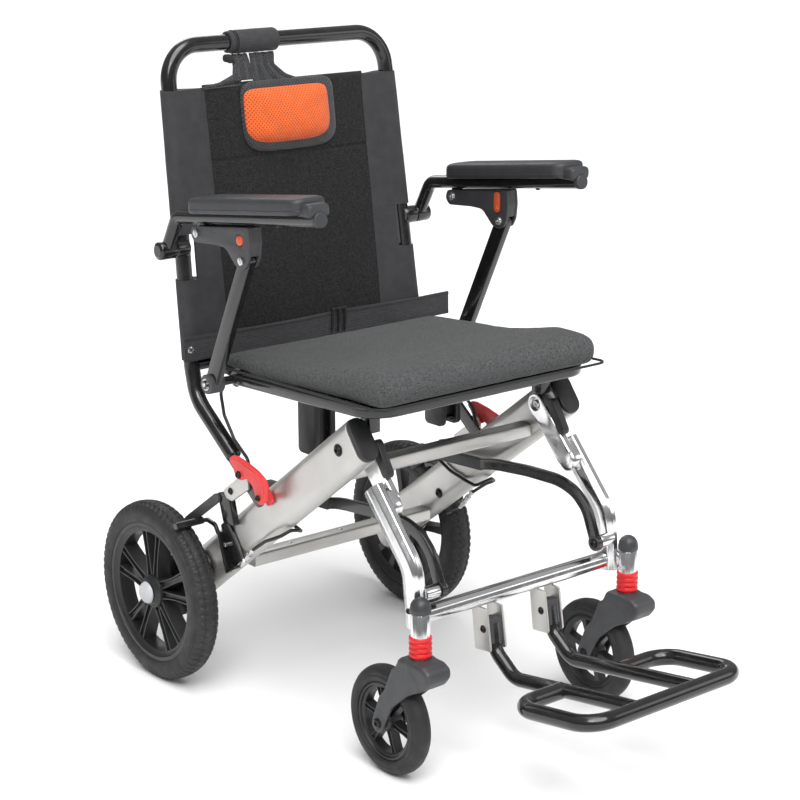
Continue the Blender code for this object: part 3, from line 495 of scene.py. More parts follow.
def stadium(wide, tall, sides=14):
    """A section with straight sides and round ends."""
    reach = (tall - wide) / 2
    return [(wide / 2 * cos(a), wide / 2 * sin(a) + (reach if 0 <= a <= pi else -reach))
            for a in [pi * k / sides for k in range(sides + 1)]
            ] + [(wide / 2 * cos(a), wide / 2 * sin(a) - reach)
                 for a in [pi + pi * k / sides for k in range(sides + 1)]]


def rect(wide, tall, radius=0.001):
    """A rectangular section with softened corners."""
    corners = [(x * wide / 2, y * tall / 2) for x, y in ((1, -1), (1, 1), (-1, 1), (-1, -1))]
    return [(p.x, p.y) for p in rounded(corners, radius, True, 30)]


def sweep(name, path, section, closed=False, up=(1, 0, 0), grow=None, tip=0.0, angle=38.0):
    """A section carried along a path. grow scales it along the way, tip rounds its ends."""
    path = [Vector(p) for p in path]
    count = len(path)
    along = []
    for k in range(count):
        before = path[k - 1] if closed or k else path[k]
        after = path[(k + 1) % count] if closed or k < count - 1 else path[k]
        along.append((after - before).normalized())
    side = Vector(up)
    rings, reach = [], max(Vector(p).length for p in section)
    for k in range(count):
        if k:
            side = along[k - 1].rotation_difference(along[k]) @ side
        side = (side - along[k] * side.dot(along[k])).normalized()
        other = along[k].cross(side)
        gx, gy = grow(k / (count - 1)) if grow else (1, 1)
        spots = [(0.0, 1.0)]
        if tip and not closed and k in (0, count - 1):
            spots = [(tip * (1 - sin(radians(a))), 1 - tip * (1 - cos(radians(a))) / reach)
                     for a in (0, 30, 60, 90)]
            if k == 0:
                spots.reverse()
        for inset, scale in spots:
            centre = path[k] + along[k] * (inset if k == 0 else -inset)
            rings.append([centre + side * (a * gx * scale) + other * (b * gy * scale)
                          for a, b in section])
    points = [p for one in rings for p in one]
    return made(name, points, loft_faces(len(rings), len(section), closed), angle)


def lathe(name, profile, at, axis="Z", s=1, steps=48, closed=False, hexed=(), shape=None,
          angle=38.0):
    """A profile of (radius, height) turned round an axis. hexed rows become hexagons."""
    points, rows, faces = [], [], []
    for k, (r, z) in enumerate(profile):
        if r < 1e-7:
            rows.append([len(points)])
            points.append(Vector((0, 0, z)))
            continue
        row = []
        for m in range(steps):
            a = 2 * pi * m / steps
            factor = cos(pi / 6) / cos((a % (pi / 3)) - pi / 6) if k in hexed else 1.0
            if shape:
                factor *= shape(k, a)
            row.append(len(points))
            points.append(Vector((r * factor * cos(a), r * factor * sin(a), z)))
        rows.append(row)
    for k in range(len(rows) if closed else len(rows) - 1):
        one, two = rows[k], rows[(k + 1) % len(rows)]
        for m in range(steps):
            face = [one[m % len(one)], two[m % len(two)], two[(m + 1) % len(two)],
                    one[(m + 1) % len(one)]]
            faces.append(tuple(dict.fromkeys(face)))
    turn = Matrix.Rotation(s * pi / 2, 4, "Y") if axis == "X" else Matrix.Identity(4)
    placed = Matrix.Translation(at) @ turn
    return made(name, [placed @ p for p in points], faces, angle)


def plate(name, outlines, x0, x1, bevel=0.0008, angle=30.0):
    """A plate parallel to the chair's side, with softened edges and any holes."""
    curve = bpy.data.curves.new(name, "CURVE")
    curve.dimensions, curve.fill_mode = "2D", "BOTH"
    curve.extrude = abs(x1 - x0) / 2 - bevel
    curve.bevel_depth, curve.bevel_resolution, curve.offset = bevel, 2, -bevel
    for outline in outlines:
        spline = curve.splines.new("POLY")
        spline.points.add(len(outline) - 1)
        for spot, point in zip(spline.points, outline):
            spot.co = (point[0], point[1], 0, 1)
        spline.use_cyclic_u = True
    flat = linked(name, curve)
    flat.location = ((x0 + x1) / 2, 0, 0)
    flat.rotation_euler = (pi / 2, 0, pi / 2)
    bpy.context.view_layer.update()
    shown = flat.evaluated_get(bpy.context.evaluated_depsgraph_get())
    mesh = bpy.data.meshes.new_from_object(shown)
    mesh.transform(flat.matrix_world)
    bpy.data.objects.remove(flat, do_unlink=True)
    bm = bmesh.new()
    bm.from_mesh(mesh)
    bmesh.ops.remove_doubles(bm, verts=bm.verts, dist=0.00002)
    bm.to_mesh(mesh)
    bm.free()
    return finish_mesh(linked(name, mesh), angle)


def circle(centre, radius, sides=28):
    return [(centre[0] + radius * cos(2 * pi * k / sides),
             centre[1] + radius * sin(2 * pi * k / sides)) for k in range(sides)]


def capsule(one, two, radius, sides=10):
    """The outline round two points, with half circles at both."""
    one, two = Vector(one), Vector(two)
    along = (two - one).normalized()
    start = Vector((-along.y, along.x))
    return [(centre + Matrix.Rotation(turned + pi * k / sides, 2) @ start * radius)
            for centre, turned in ((one, 0), (two, pi)) for k in range(sides + 1)]


def block(name, low, high, bevel=0.001, segments=3):
    """A small block with rounded edges."""
    bm = bmesh.new()
    size = [b - a for a, b in zip(low, high)]
    middle = [(a + b) / 2 for a, b in zip(low, high)]
    bmesh.ops.create_cube(bm, size=1.0,
                          matrix=Matrix.Translation(middle) @ Matrix.Diagonal((*size, 1)))
    bmesh.ops.bevel(bm, geom=bm.edges[:], offset=bevel, segments=segments, profile=0.5,
                    affect="EDGES")
    mesh = bpy.data.meshes.new(name)
    bm.to_mesh(mesh)
    bm.free()
    return finish_mesh(linked(name, mesh), 60)


def bolt(name, at, s, radius, height, look, body, washer=1.0):
    """A domed bolt head with a hexagon socket and a thin washer, facing out along X."""
    r, h = radius, height
    head = [(0, 0.35 * h), (0.44 * r, 0.35 * h), (0.46 * r, 0.95 * h), (0.60 * r, h),
            (0.86 * r, 0.82 * h), (r, 0.45 * h), (r, 0.12 * h)]
    if washer > 1:
        head += [(washer * r, 0.12 * h), (washer * r, -0.05 * h)]
    head += [(0, -0.05 * h)]
    return put(lathe(name, head, at, "X", s, 24, hexed=(1, 2)), look, body)


def nut(name, at, s, radius, height, look, body):
    """A hexagon nut with its thread end, facing out along X."""
    r, h = radius, height
    rows = [(0, 1.35 * h), (0.42 * r, 1.35 * h), (0.46 * r, 1.2 * h), (0.46 * r, h),
            (0.80 * r, h), (r, 0.82 * h), (r, 0), (1.25 * r, 0), (1.25 * r, -0.2 * h), (0, -0.2 * h)]
    return put(lathe(name, rows, at, "X", s, 24, hexed=(5, 6)), look, body)


def slope_point(forward, up):
    """(Y, Z) of a point this far down the main tube's slope and above its middle line."""
    y = TUBE_FRONT[0] + forward * cos(TUBE_SLOPE) + up * sin(TUBE_SLOPE)
    z = TUBE_FRONT[1] - forward * sin(TUBE_SLOPE) + up * cos(TUBE_SLOPE)
    return y, z


# ---------------------------------------------------------------- lower frame

def main_tube(side, s):
    x = s * TUBE_X
    ends = [(x, *slope_point(d, 0)) for d in (0, 0.1, 0.2, 0.3, TUBE_LENGTH)]
    tube = sweep(f"main_tube_{side}_shell", ends, stadium(TUBE_WIDE, TUBE_TALL), tip=0.0008)
    put(tube, "silver", "chassis", f"main_tube_{side}")
    cap = sweep(f"tube_cap_{side}_plug",
                [(x, *slope_point(d, 0)) for d in (-0.0062, -0.004, -0.0002)],
                stadium(TUBE_WIDE - 0.0022, TUBE_TALL - 0.0022), tip=0.0019)
    put(cap, "rim", "chassis", f"tube_cap_{side}")
    inner_bolt = (0.171, 0.2305)
    star = lathe(f"tube_star_washer_{side}", [(0, 0.0012), (0.0066, 0.0012), (0.0072, 0.0004),
                                              (0.0072, -0.0002), (0, -0.0002)],
                 (s * TUBE_INNER, *inner_bolt), "X", -s, 48,
                 shape=lambda k, a: 1 - 0.14 * abs(sin(4 * a)))
    put(star, "black_bolt", "chassis")
    bolt(f"leg_pivot_bolt_{side}", (s * TUBE_OUTER, *LEG_PIVOT), s, 0.0062, 0.0036, "black_bolt",
         "chassis", 1.35)
    bolt(f"tube_inner_bolt_{side}", (s * TUBE_INNER, *inner_bolt), -s, 0.0058, 0.0034,
         "black_bolt", "chassis", 1.3)
    bolt(f"tube_rear_bolt_{side}", (s * TUBE_INNER, *slope_point(0.385, -0.014)), -s, 0.0040,
         0.0026, "steel", "chassis", 1.3)


def crossbars():
    inner = TUBE_INNER - 0.0002
    for name, (y, z), spots in (("mid_crossbar", (-0.012, 0.370), (-0.075, 0.075)),
                                ("rear_crossbar", (0.203, 0.192), (-0.09, 0.0, 0.09))):
        bar = sweep(f"{name}_tube", [(-inner, y, z), (0, y, z), (inner, y, z)],
                    rect(0.024, 0.018, 0.0028), up=(0, 1, 0))
        put(bar, "silver", "chassis", name)
        for k, x in enumerate(spots):
            rivet = lathe(f"{name}_rivet_{k}", [(0, 0.0011), (0.0016, 0.0010), (0.0028, 0.0004),
                                                (0.0030, -0.0002), (0, -0.0002)],
                          (x, y, z + 0.009), steps=20)
            put(rivet, "steel", "chassis")


def axle_region(side, s):
    """The black drum cover, its arm on the tube, the axle, and the arch over to the shoe."""
    drum = lathe(f"brake_drum_{side}", [(0.010, 0.0096), (0.034, 0.0096), (0.0360, 0.0085),
                                        (0.0432, 0.0085), (0.0440, 0.0075), (0.0440, 0.0010),
                                        (0.0432, 0.0), (0.010, 0.0)],
                 (s * 0.1999, *AXLE), "X", s, 56, closed=True)
    put(drum, "rim", "chassis", f"axle_housing_{side}")
    arm = plate(f"drum_plate_{side}", (capsule(AXLE, slope_point(0.430, 0), 0.0298, 16),),
                s * PLATE_X, s * 0.1998, 0.0012)
    put(arm, "black", "chassis")
    nut(f"axle_inner_nut_{side}", (s * 0.1940, *AXLE), -s, 0.0052, 0.0050, "steel", "chassis")
    stub = lathe(f"axle_stub_{side}", [(0, 0.0475), (0.0058, 0.0475), (0.0060, 0.047),
                                       (0.0060, 0.0), (0, 0.0)],
                 (s * 0.2060, *AXLE), "X", s, 24)
    put(stub, "steel", "chassis")
    arch = rounded([(s * ARCH_X, 0.2149, 0.2366), (s * ARCH_X, 0.2220, 0.2475),
                    (s * ARCH_X, 0.2400, 0.2500), (s * ARCH_X, 0.2525, 0.2460)], 0.008)
    put(sweep(f"shoe_arch_{side}", arch, rect(0.0042, 0.0060, 0.0010), tip=0.001), "black",
        "chassis")
    shoe = lathe(f"shoe_bar_{side}", [(0, 0.0460), (0.0044, 0.0460), (0.0052, 0.0450),
                                      (0.0052, 0.0010), (0.0044, 0.0), (0, 0.0)],
                 (s * ARCH_X, 0.2525, 0.2465), "X", s, 28)
    put(shoe, "black", "chassis")


def brake_linkage(side, s):
    upright = rounded(((0.1880, 0.3015), (0.2145, 0.2965), (0.2020, 0.2560),
                       (0.1760, 0.2560)), 0.003, True)
    stem = plate(f"brake_upright_{side}", (upright,), s * PLATE_X, s * 0.2046, 0.0012)
    put(stem, "black", "chassis", f"brake_arm_{side}")
    outline = rounded(((0.2016, 0.2599), (0.1652, 0.2121), (0.1857, 0.1952), (0.1963, 0.1837),
                       (0.2149, 0.2366), (0.2185, 0.2465)), 0.0015, True)
    face = [plate("face", (outline,), s * PLATE_X, s * 0.1975, 0.0007),
            plate("flange", (capsule((0.2145, 0.2366), (0.1963, 0.1850), 0.0018),), s * 0.1955,
                  s * 0.2055, 0.0006),
            plate("foot", (capsule((0.1950, 0.1870), (0.1760, 0.1975), 0.0022),), s * 0.1942,
                  s * 0.2060, 0.0006)]
    put(joined(f"brake_face_{side}", face), "black", "chassis")
    pin = lathe(f"brake_face_pin_{side}", [(0, 0.0066), (0.0026, 0.0066), (0.0032, 0.0060),
                                           (0.0032, 0.0), (0, 0.0)],
                (s * 0.1974, 0.2020, 0.2230), "X", s, 20)
    put(pin, "steel", "chassis")
    bar = plate(f"brake_bar_{side}", (capsule((0.2130, 0.2890), (0.2850, 0.2380), 0.0066, 12),),
                s * 0.2032, s * 0.2088, 0.0010)
    put(bar, "plastic", "chassis")
    outline = rounded(((0.1925, 0.3060), (0.1560, 0.3330), (0.1500, 0.3475), (0.1390, 0.3440),
                       (0.1340, 0.3330), (0.1330, 0.3210), (0.1720, 0.2950),
                       (0.1850, 0.2960)), 0.004, True)
    link = plate(f"hinge_plate_{side}", (outline,), s * 0.2052, s * 0.2100, 0.0010)
    put(link, "silver", "chassis", f"hinge_bracket_{side}")
    bolt(f"hinge_plate_bolt_{side}", (s * 0.2100, 0.1739, 0.3091), s, 0.0043, 0.0026,
         "black_bolt", "chassis", 1.2)
    brake_cable(side, s)


def brake_cable(side, s):
    """The sheath along the tube's inner face, under it and up to the threaded adjuster."""
    route = [(s * 0.1555, 0.1690, 0.2850), (s * 0.1550, 0.1400, 0.2730),
             (s * 0.1550, 0.1040, 0.2660), (s * 0.1560, 0.0870, 0.2630),
             (s * 0.1680, 0.0790, 0.2690), (s * 0.1800, 0.0785, 0.2715),
             (s * 0.1915, 0.0855, 0.2640), (s * 0.1975, 0.0975, 0.2580),
             (s * CABLE_X, 0.1120, 0.2510), (s * CABLE_X, 0.1420, 0.2303)]
    sheath = sweep(f"brake_cable_{side}_sheath", rounded(route, 0.008), ring(0.0024, 16))
    put(sheath, "cable", "chassis", f"brake_cable_{side}")
    start, end = Vector((s * CABLE_X, 0.1400, 0.2325)), Vector((s * CABLE_X, 0.1690, 0.2010))
    spots, sizes = [], []
    for a, r in ((0, 0.0034), (0.04, 0.0040), (0.12, 0.0040), (0.13, 0.0026), (0.30, 0.0026),
                 (0.31, 0.0044), (0.44, 0.0044), (0.45, 0.0036), (0.62, 0.0036),
                 (0.63, 0.0046), (0.80, 0.0046), (0.82, 0.0030), (1.0, 0.0030)):
        spots.append(start.lerp(end, a))
        sizes.append((r / 0.004, r / 0.004))
    barrel = sweep(f"cable_adjuster_{side}", spots, ring(0.004, 24, 12, 0.06),
                   grow=lambda t: sizes[min(len(sizes) - 1, round(t * (len(sizes) - 1)))])
    put(barrel, "steel", "chassis")


def fold_lever(side, s):
    body = f"lever_{side}"
    outline = rounded(((0.1690, 0.3580), (0.1600, 0.3640), (0.1504, 0.3655), (0.1255, 0.3612),
                       (0.1020, 0.3550), (0.0860, 0.3470), (0.0802, 0.3358), (0.0842, 0.3168),
                       (0.0976, 0.3090), (0.1091, 0.3115), (0.1103, 0.3224), (0.1165, 0.3330),
                       (0.1300, 0.3385), (0.1380, 0.3345), (0.1480, 0.3325), (0.1545, 0.3375),
                       (0.1600, 0.3480)),
                      (0.003, 0.006, 0.02, 0.05, 0.03, 0.014, 0.014, 0.008, 0.005, 0.004, 0.010,
                       0.012, 0.008, 0.006, 0.006, 0.006, 0.010), True)
    put(plate(f"lever_cheek_{side}", (outline,), s * 0.2114, s * 0.2158, 0.0014), "red", body,
        f"fold_lever_{side}")
    spine = rounded(((0.1640, 0.3575), (0.1480, 0.3590), (0.1250, 0.3545), (0.1020, 0.3480),
                     (0.0905, 0.3370), (0.0900, 0.3220)), 0.012)
    rib = sweep(f"lever_rib_{side}", [(s * 0.2160, p.x, p.y) for p in spine],
                rect(0.0016, 0.0036, 0.0006), tip=0.0006)
    put(rib, "red", body)
    bridge = rounded(((0.0945, 0.3145), (0.1010, 0.3105), (0.1040, 0.3190), (0.0975, 0.3215)),
                     0.001, True)
    inner = rounded(((0.0925, 0.3110), (0.1050, 0.3020), (0.1220, 0.3190), (0.1120, 0.3360)),
                    0.003, True)
    back = joined(f"lever_inner_{side}", [
        plate("bridge", (bridge,), s * 0.1950, s * 0.2130, 0.0006),
        plate("inner", (inner,), s * 0.1944, s * 0.1984, 0.0010)])
    put(back, "red", body)
    bolt(f"lever_pivot_bolt_{side}", (s * 0.2158, *LEVER_PIVOT), s, 0.0048, 0.0038,
         "black_bolt", body, 1.15)
    bolt(f"lever_end_bolt_{side}", (s * 0.2158, 0.1020, 0.3180), s, 0.0040, 0.0034,
         "black_bolt", body, 1.15)
    wire = sweep(f"lever_wire_{side}", rounded([(s * 0.1990, 0.1000, 0.3290),
                                                (s * 0.2000, 0.1090, 0.3390),
                                                (s * 0.2060, 0.1230, 0.3420)], 0.006),
                 ring(0.0008, 10))
    put(wire, "steel", body)


# ---------------------------------------------------------------- front frame

def front_leg(side, s):
    path = rounded([(s * 0.1700, -0.0865, 0.3685), (s * 0.1700, -0.1635, 0.2820),
                    (s * 0.1690, -0.1700, 0.2060)], (0, 0.05, 0), step=5)
    leg = sweep(f"front_leg_{side}_tube", path, ring(0.0121, 80, 10, 0.045, 0.0166),
                tip=0.0012, angle=60)
    put(leg, "bright", "front_frame", f"front_leg_{side}")
    head = plate(f"leg_head_{side}", (capsule(LEG_PIVOT, (-0.1000, 0.3530), 0.0150, 16),
                                      circle(LEG_PIVOT, 0.0085)), s * 0.1480, s * 0.1588, 0.0020)
    put(head, "bright", "front_frame")
    socket = plate(f"leg_socket_{side}", (capsule((-0.0965, 0.3570), (-0.1060, 0.3463), 0.0150,
                                                  16),), s * 0.1482, s * 0.1700, 0.0045)
    put(socket, "bright", "front_frame")
    bolt(f"leg_head_bolt_{side}", (s * 0.1520, *LEG_PIVOT), -s, 0.0060, 0.0034, "steel",
         "front_frame", 1.36)
    guard = plate(f"leg_guard_{side}", (capsule((-0.0740, 0.4200), (-0.0940, 0.3880), 0.0072),),
                  s * 0.1480, s * 0.1588, 0.0012)
    put(guard, "rim", "chassis")
    swivel_post(side, s)
    lug = lathe(f"link_lug_{side}", [(0, 0.0), (0.0085, 0.0), (0.0090, 0.0010),
                                     (0.0090, 0.0230), (0, 0.0230)],
                (s * 0.1420, *LINK_PIVOT), "X", s, 32)
    put(lug, "bright", "front_frame")
    bolt(f"leg_side_bolt_{side}", (s * 0.1808, -0.1680, 0.2300), s, 0.0038, 0.0022, "black_bolt",
         "front_frame", 1.2)


def swivel_post(side, s):
    """The post over the caster, with its weld, cap and ribbed collar."""
    at = (s * CASTER_X, SWIVEL_Y, 0)
    post = lathe(f"swivel_post_{side}", [(0, 0.2358), (0.0118, 0.2358), (0.0125, 0.2350),
                                         (0.0125, 0.1770), (0.0080, 0.1768), (0, 0.1768)],
                 at, steps=72, shape=lambda k, a: 1 - 0.035 * abs(sin(6 * a)), angle=60)
    put(post, "bright", "front_frame")
    weld = sweep(f"post_weld_{side}", [(s * 0.1730, -0.1760, 0.2085), (s * 0.1760, -0.1825, 0.2200),
                                       (s * 0.1730, -0.1765, 0.2330)], ring(0.0060, 16),
                 tip=0.004)
    put(weld, "bright", "front_frame")
    dome = [(0, 0.0203), (0.0050, 0.0195), (0.0096, 0.0165), (0.0124, 0.0120), (0.0133, 0.0068),
            (0.0136, 0.0060), (0.0136, 0.0008), (0.0130, 0.0002), (0, 0.0002)]
    cap = lathe(f"post_cap_{side}_dome", dome, (at[0], at[1], 0.2360), steps=48,
                shape=lambda k, a: 1 - (0.03 * abs(sin(4 * a)) if 1 <= k <= 3 else 0), angle=50)
    put(cap, "sleeve", "front_frame", f"post_cap_{side}")
    rows, top, pitch = [(0.0127, 0.2056)], 0.2056, 0.0070
    for k in range(4):
        z = top - k * pitch
        rows += [(0.0136, z), (0.0146, z - 0.0012), (0.0146, z - 0.0044), (0.0136, z - 0.0056),
                 (0.0133, z - 0.0064)]
    rows += [(0.0127, top - 4 * pitch)]
    collar = lathe(f"post_collar_{side}_ribs", rows, at, steps=56, closed=True, angle=70)
    put(collar, "collar", "front_frame", f"post_collar_{side}")


def front_crossbar():
    bar = sweep("front_crossbar_tube", [(x, *FRONT_BAR) for x in (-0.1575, -0.05, 0.05, 0.1575)],
                ring(0.0114, 60, 10, 0.030), up=(0, 1, 0), angle=60)
    put(bar, "bright", "front_frame", "front_crossbar")


def foot_bracket(side, s):
    y, z = FRONT_BAR
    outline = rounded(((y - 0.0150, z - 0.0122), (y + 0.0140, z - 0.0122),
                       (y + 0.0065, z - 0.0715), (y - 0.0240, z - 0.0685)), 0.003, True)
    for word, d in (("inner", -1), ("outer", 1)):
        face = s * (FOOT_ARM_X + d * 0.0143)
        side_plate = plate(f"foot_plate_{word}_{side}", (outline,),
                           s * (FOOT_ARM_X + d * 0.0113), face, 0.0005)
        put(side_plate, "silver", "front_frame", *([f"foot_bracket_{side}"] if d > 0 else []))
        bolt(f"foot_bolt_{word}_{side}", (face, -0.1790, 0.1800), s * d, 0.0042, 0.0026,
             "black_bolt", "front_frame", 1.25)
    brace = block(f"foot_brace_{side}", (s * FOOT_ARM_X - 0.0118, y + 0.0035, z - 0.0645),
                  (s * FOOT_ARM_X + 0.0118, y + 0.0070, z - 0.0325), 0.0008)
    put(brace, "silver", "front_frame")


def link_bar(side, s):
    x = s * LINK_X
    line = [(x, *LINK_PIVOT), (x, -0.1600, 0.2950), (x, -0.1385, 0.3130), (x, -0.1080, 0.3225),
            (x, -0.0420, 0.3205), (x, 0.0265, 0.3140), (x, 0.0560, 0.3070)]
    bar = sweep(f"link_front_{side}", rounded(line, (0, 0.05, 0.05, 0.1, 0.2, 0.2, 0), step=5),
                rect(0.0078, 0.0154, 0.0010), tip=0.0008)
    put(bar, "black", f"link_{side}", f"link_bar_{side}")
    rear = sweep(f"link_rear_{side}", [(x, 0.0500, 0.3073), (x, 0.1200, 0.3033),
                                       (x, 0.1870, 0.2995)],
                 rect(0.0084, 0.0164, 0.0012), tip=0.001)
    put(rear, "sleeve", f"link_{side}")
    eye = lathe(f"link_eye_{side}", [(0.0035, 0.0042), (0.0100, 0.0042), (0.0108, 0.0034),
                                     (0.0108, -0.0034), (0.0100, -0.0042), (0.0035, -0.0042)],
                (x, *LINK_PIVOT), "X", s, 32, closed=True)
    put(eye, "black", f"link_{side}")
    bolt(f"link_bolt_{side}", (x - s * 0.0040, *LINK_PIVOT), -s, 0.0056, 0.0036, "black_bolt",
         f"link_{side}", 1.3)


# ---------------------------------------------------------------- wheels

def tread(blocks, low):
    """Shoulder blocks: rows outside the crown dip between the blocks."""
    def shape(k, a):
        if k not in low:
            return 1.0
        phase = (a * blocks / (2 * pi) + low[k]) % 1.0
        return 1.0 - (0.012 if phase < 0.30 else 0.0)
    return shape


def channel(wide, deep, mouth, floor, rise):
    """A grooved bar's section. Widths and depths are measured from its middle."""
    return [(-wide, -deep), (wide, -deep), (wide, deep), (mouth, deep), (floor, rise),
            (-floor, rise), (-mouth, deep), (-wide, deep)]


def spoke(line, section, s, foot, waist):
    """A grooved spoke, its groove facing out, and slimmer by waist at mid length."""
    return sweep("spoke", line, [(s * v, u) for u, v in section],
                 grow=lambda t: (1.0, foot - waist * sin(pi * t)), angle=30)


def rear_wheel(side, s):
    on, at = f"rear_wheel_{side}", (s * REAR_X, *AXLE)
    half = [(0.1013, 0.0168), (0.1030, 0.0185), (0.1070, 0.0196), (0.1120, 0.0199),
            (0.1165, 0.0194), (0.1185, 0.0186), (0.1190, 0.0178), (0.1215, 0.0172),
            (0.1245, 0.0158), (0.1262, 0.0146), (0.1274, 0.0124), (0.1284, 0.0100),
            (0.1286, 0.0092), (0.1279, 0.0086), (0.1279, 0.0076), (0.1290, 0.0070),
            (0.1297, 0.0040), (0.1300, 0.0016)]
    profile = half + [(r, -z) for r, z in reversed(half)]
    total = len(profile)
    low = {k: 0.0 for k in (7, 8, 9, 10, 11)}
    low.update({total - 1 - k: 0.5 for k in (7, 8, 9, 10, 11)})
    low.update({15: 0.25, 16: 0.25, total - 16: 0.75, total - 17: 0.75})
    tyre = lathe(f"rear_tyre_{side}_tread", profile, at, "X", s, 504, closed=True,
                 shape=tread(72, low), angle=32)
    put(tyre, "tyre", on, f"rear_tyre_{side}")
    ring_rows = [(0.1010, 0.0166), (0.0985, 0.0172), (0.0955, 0.0168), (0.0935, 0.0140),
                 (0.0890, 0.0125), (0.0872, 0.0115), (0.0868, 0.0), (0.0872, -0.0115),
                 (0.0935, -0.0140), (0.0985, -0.0172), (0.1010, -0.0166)]
    rim = lathe(f"rear_rim_{side}_ring", ring_rows, at, "X", s, 96, closed=True)
    put(rim, "rim", on, f"rear_rim_{side}")
    hub_rows = [(0.0062, 0.0190), (0.0165, 0.0190), (0.0185, 0.0182), (0.0205, 0.0150),
                (0.0235, 0.0135), (0.0245, 0.0100), (0.0245, -0.0120), (0.0225, -0.0160),
                (0.0062, -0.0160)]
    put(lathe(f"rear_hub_{side}", hub_rows, at, "X", s, 56, closed=True), "rim", on)
    section = channel(0.0060, 0.0110, 0.0042, 0.0034, 0.0072)
    spokes, inner, reach, steps = [], 0.0205, 0.0680, 6
    for k in range(5):
        for d in (-1, 1):
            a = radians(72 * k + 90)
            line = []
            for t in range(steps + 1):
                r = inner + reach * t / steps
                spread = d * (0.0068 + 0.0115 * (t / steps) ** 1.3)
                line.append((at[0], at[1] + r * cos(a) - spread * sin(a),
                             at[2] + r * sin(a) + spread * cos(a)))
            spokes.append(spoke(line, section, s, 1.05, 0.25))
    put(joined(f"rear_spokes_{side}", spokes), "rim", on)
    cap = lathe(f"hub_cap_{side}_dome", [(0, 0.0085), (0.0060, 0.0083), (0.0105, 0.0072),
                                         (0.0140, 0.0048), (0.0158, 0.0018), (0.0160, 0.0004),
                                         (0.0156, 0.0), (0, 0.0)],
                (s * 0.2534, *AXLE), "X", s, 48, angle=60)
    put(cap, "hub", on, f"hub_cap_{side}")


def caster_wheel(side, s):
    on, at = f"caster_wheel_{side}", (s * CASTER_X, *CASTER_AXLE)
    half = [(0.0523, 0.0112), (0.0535, 0.0128), (0.0560, 0.0138), (0.0590, 0.0142),
            (0.0604, 0.0139), (0.0610, 0.0132), (0.0622, 0.0134), (0.0660, 0.0122),
            (0.0695, 0.0096), (0.0718, 0.0062), (0.0729, 0.0022)]
    profile = half + [(r, -z) for r, z in reversed(half)]
    tyre = lathe(f"caster_tyre_{side}_round", profile, at, "X", s, 128, closed=True, angle=50)
    put(tyre, "tyre", on, f"caster_tyre_{side}")
    rows = [(0.0520, 0.0108), (0.0500, 0.0118), (0.0482, 0.0112), (0.0472, 0.0086),
            (0.0446, 0.0078), (0.0436, 0.0068), (0.0434, 0.0), (0.0436, -0.0068),
            (0.0472, -0.0086), (0.0500, -0.0118), (0.0520, -0.0108)]
    rim = lathe(f"caster_rim_{side}_ring", rows, at, "X", s, 72, closed=True)
    put(rim, "rim", on, f"caster_rim_{side}")
    hub = [(0.0046, 0.0135), (0.0095, 0.0135), (0.0112, 0.0122), (0.0134, 0.0100),
           (0.0140, 0.0070), (0.0140, -0.0070), (0.0112, -0.0122), (0.0046, -0.0135)]
    put(lathe(f"caster_hub_{side}", hub, at, "X", s, 40, closed=True), "rim", on)
    section, spokes = channel(0.0038, 0.0068, 0.0026, 0.0019, 0.0042), []
    for k in range(6):
        a = radians(60 * k + 10)
        line = [(at[0], at[1] + r * cos(a), at[2] + r * sin(a))
                for r in (0.0120, 0.0200, 0.0290, 0.0370, 0.0445)]
        spokes.append(spoke(line, section, s, 1.15, 0.3))
    put(joined(f"caster_spokes_{side}", spokes), "rim", on)


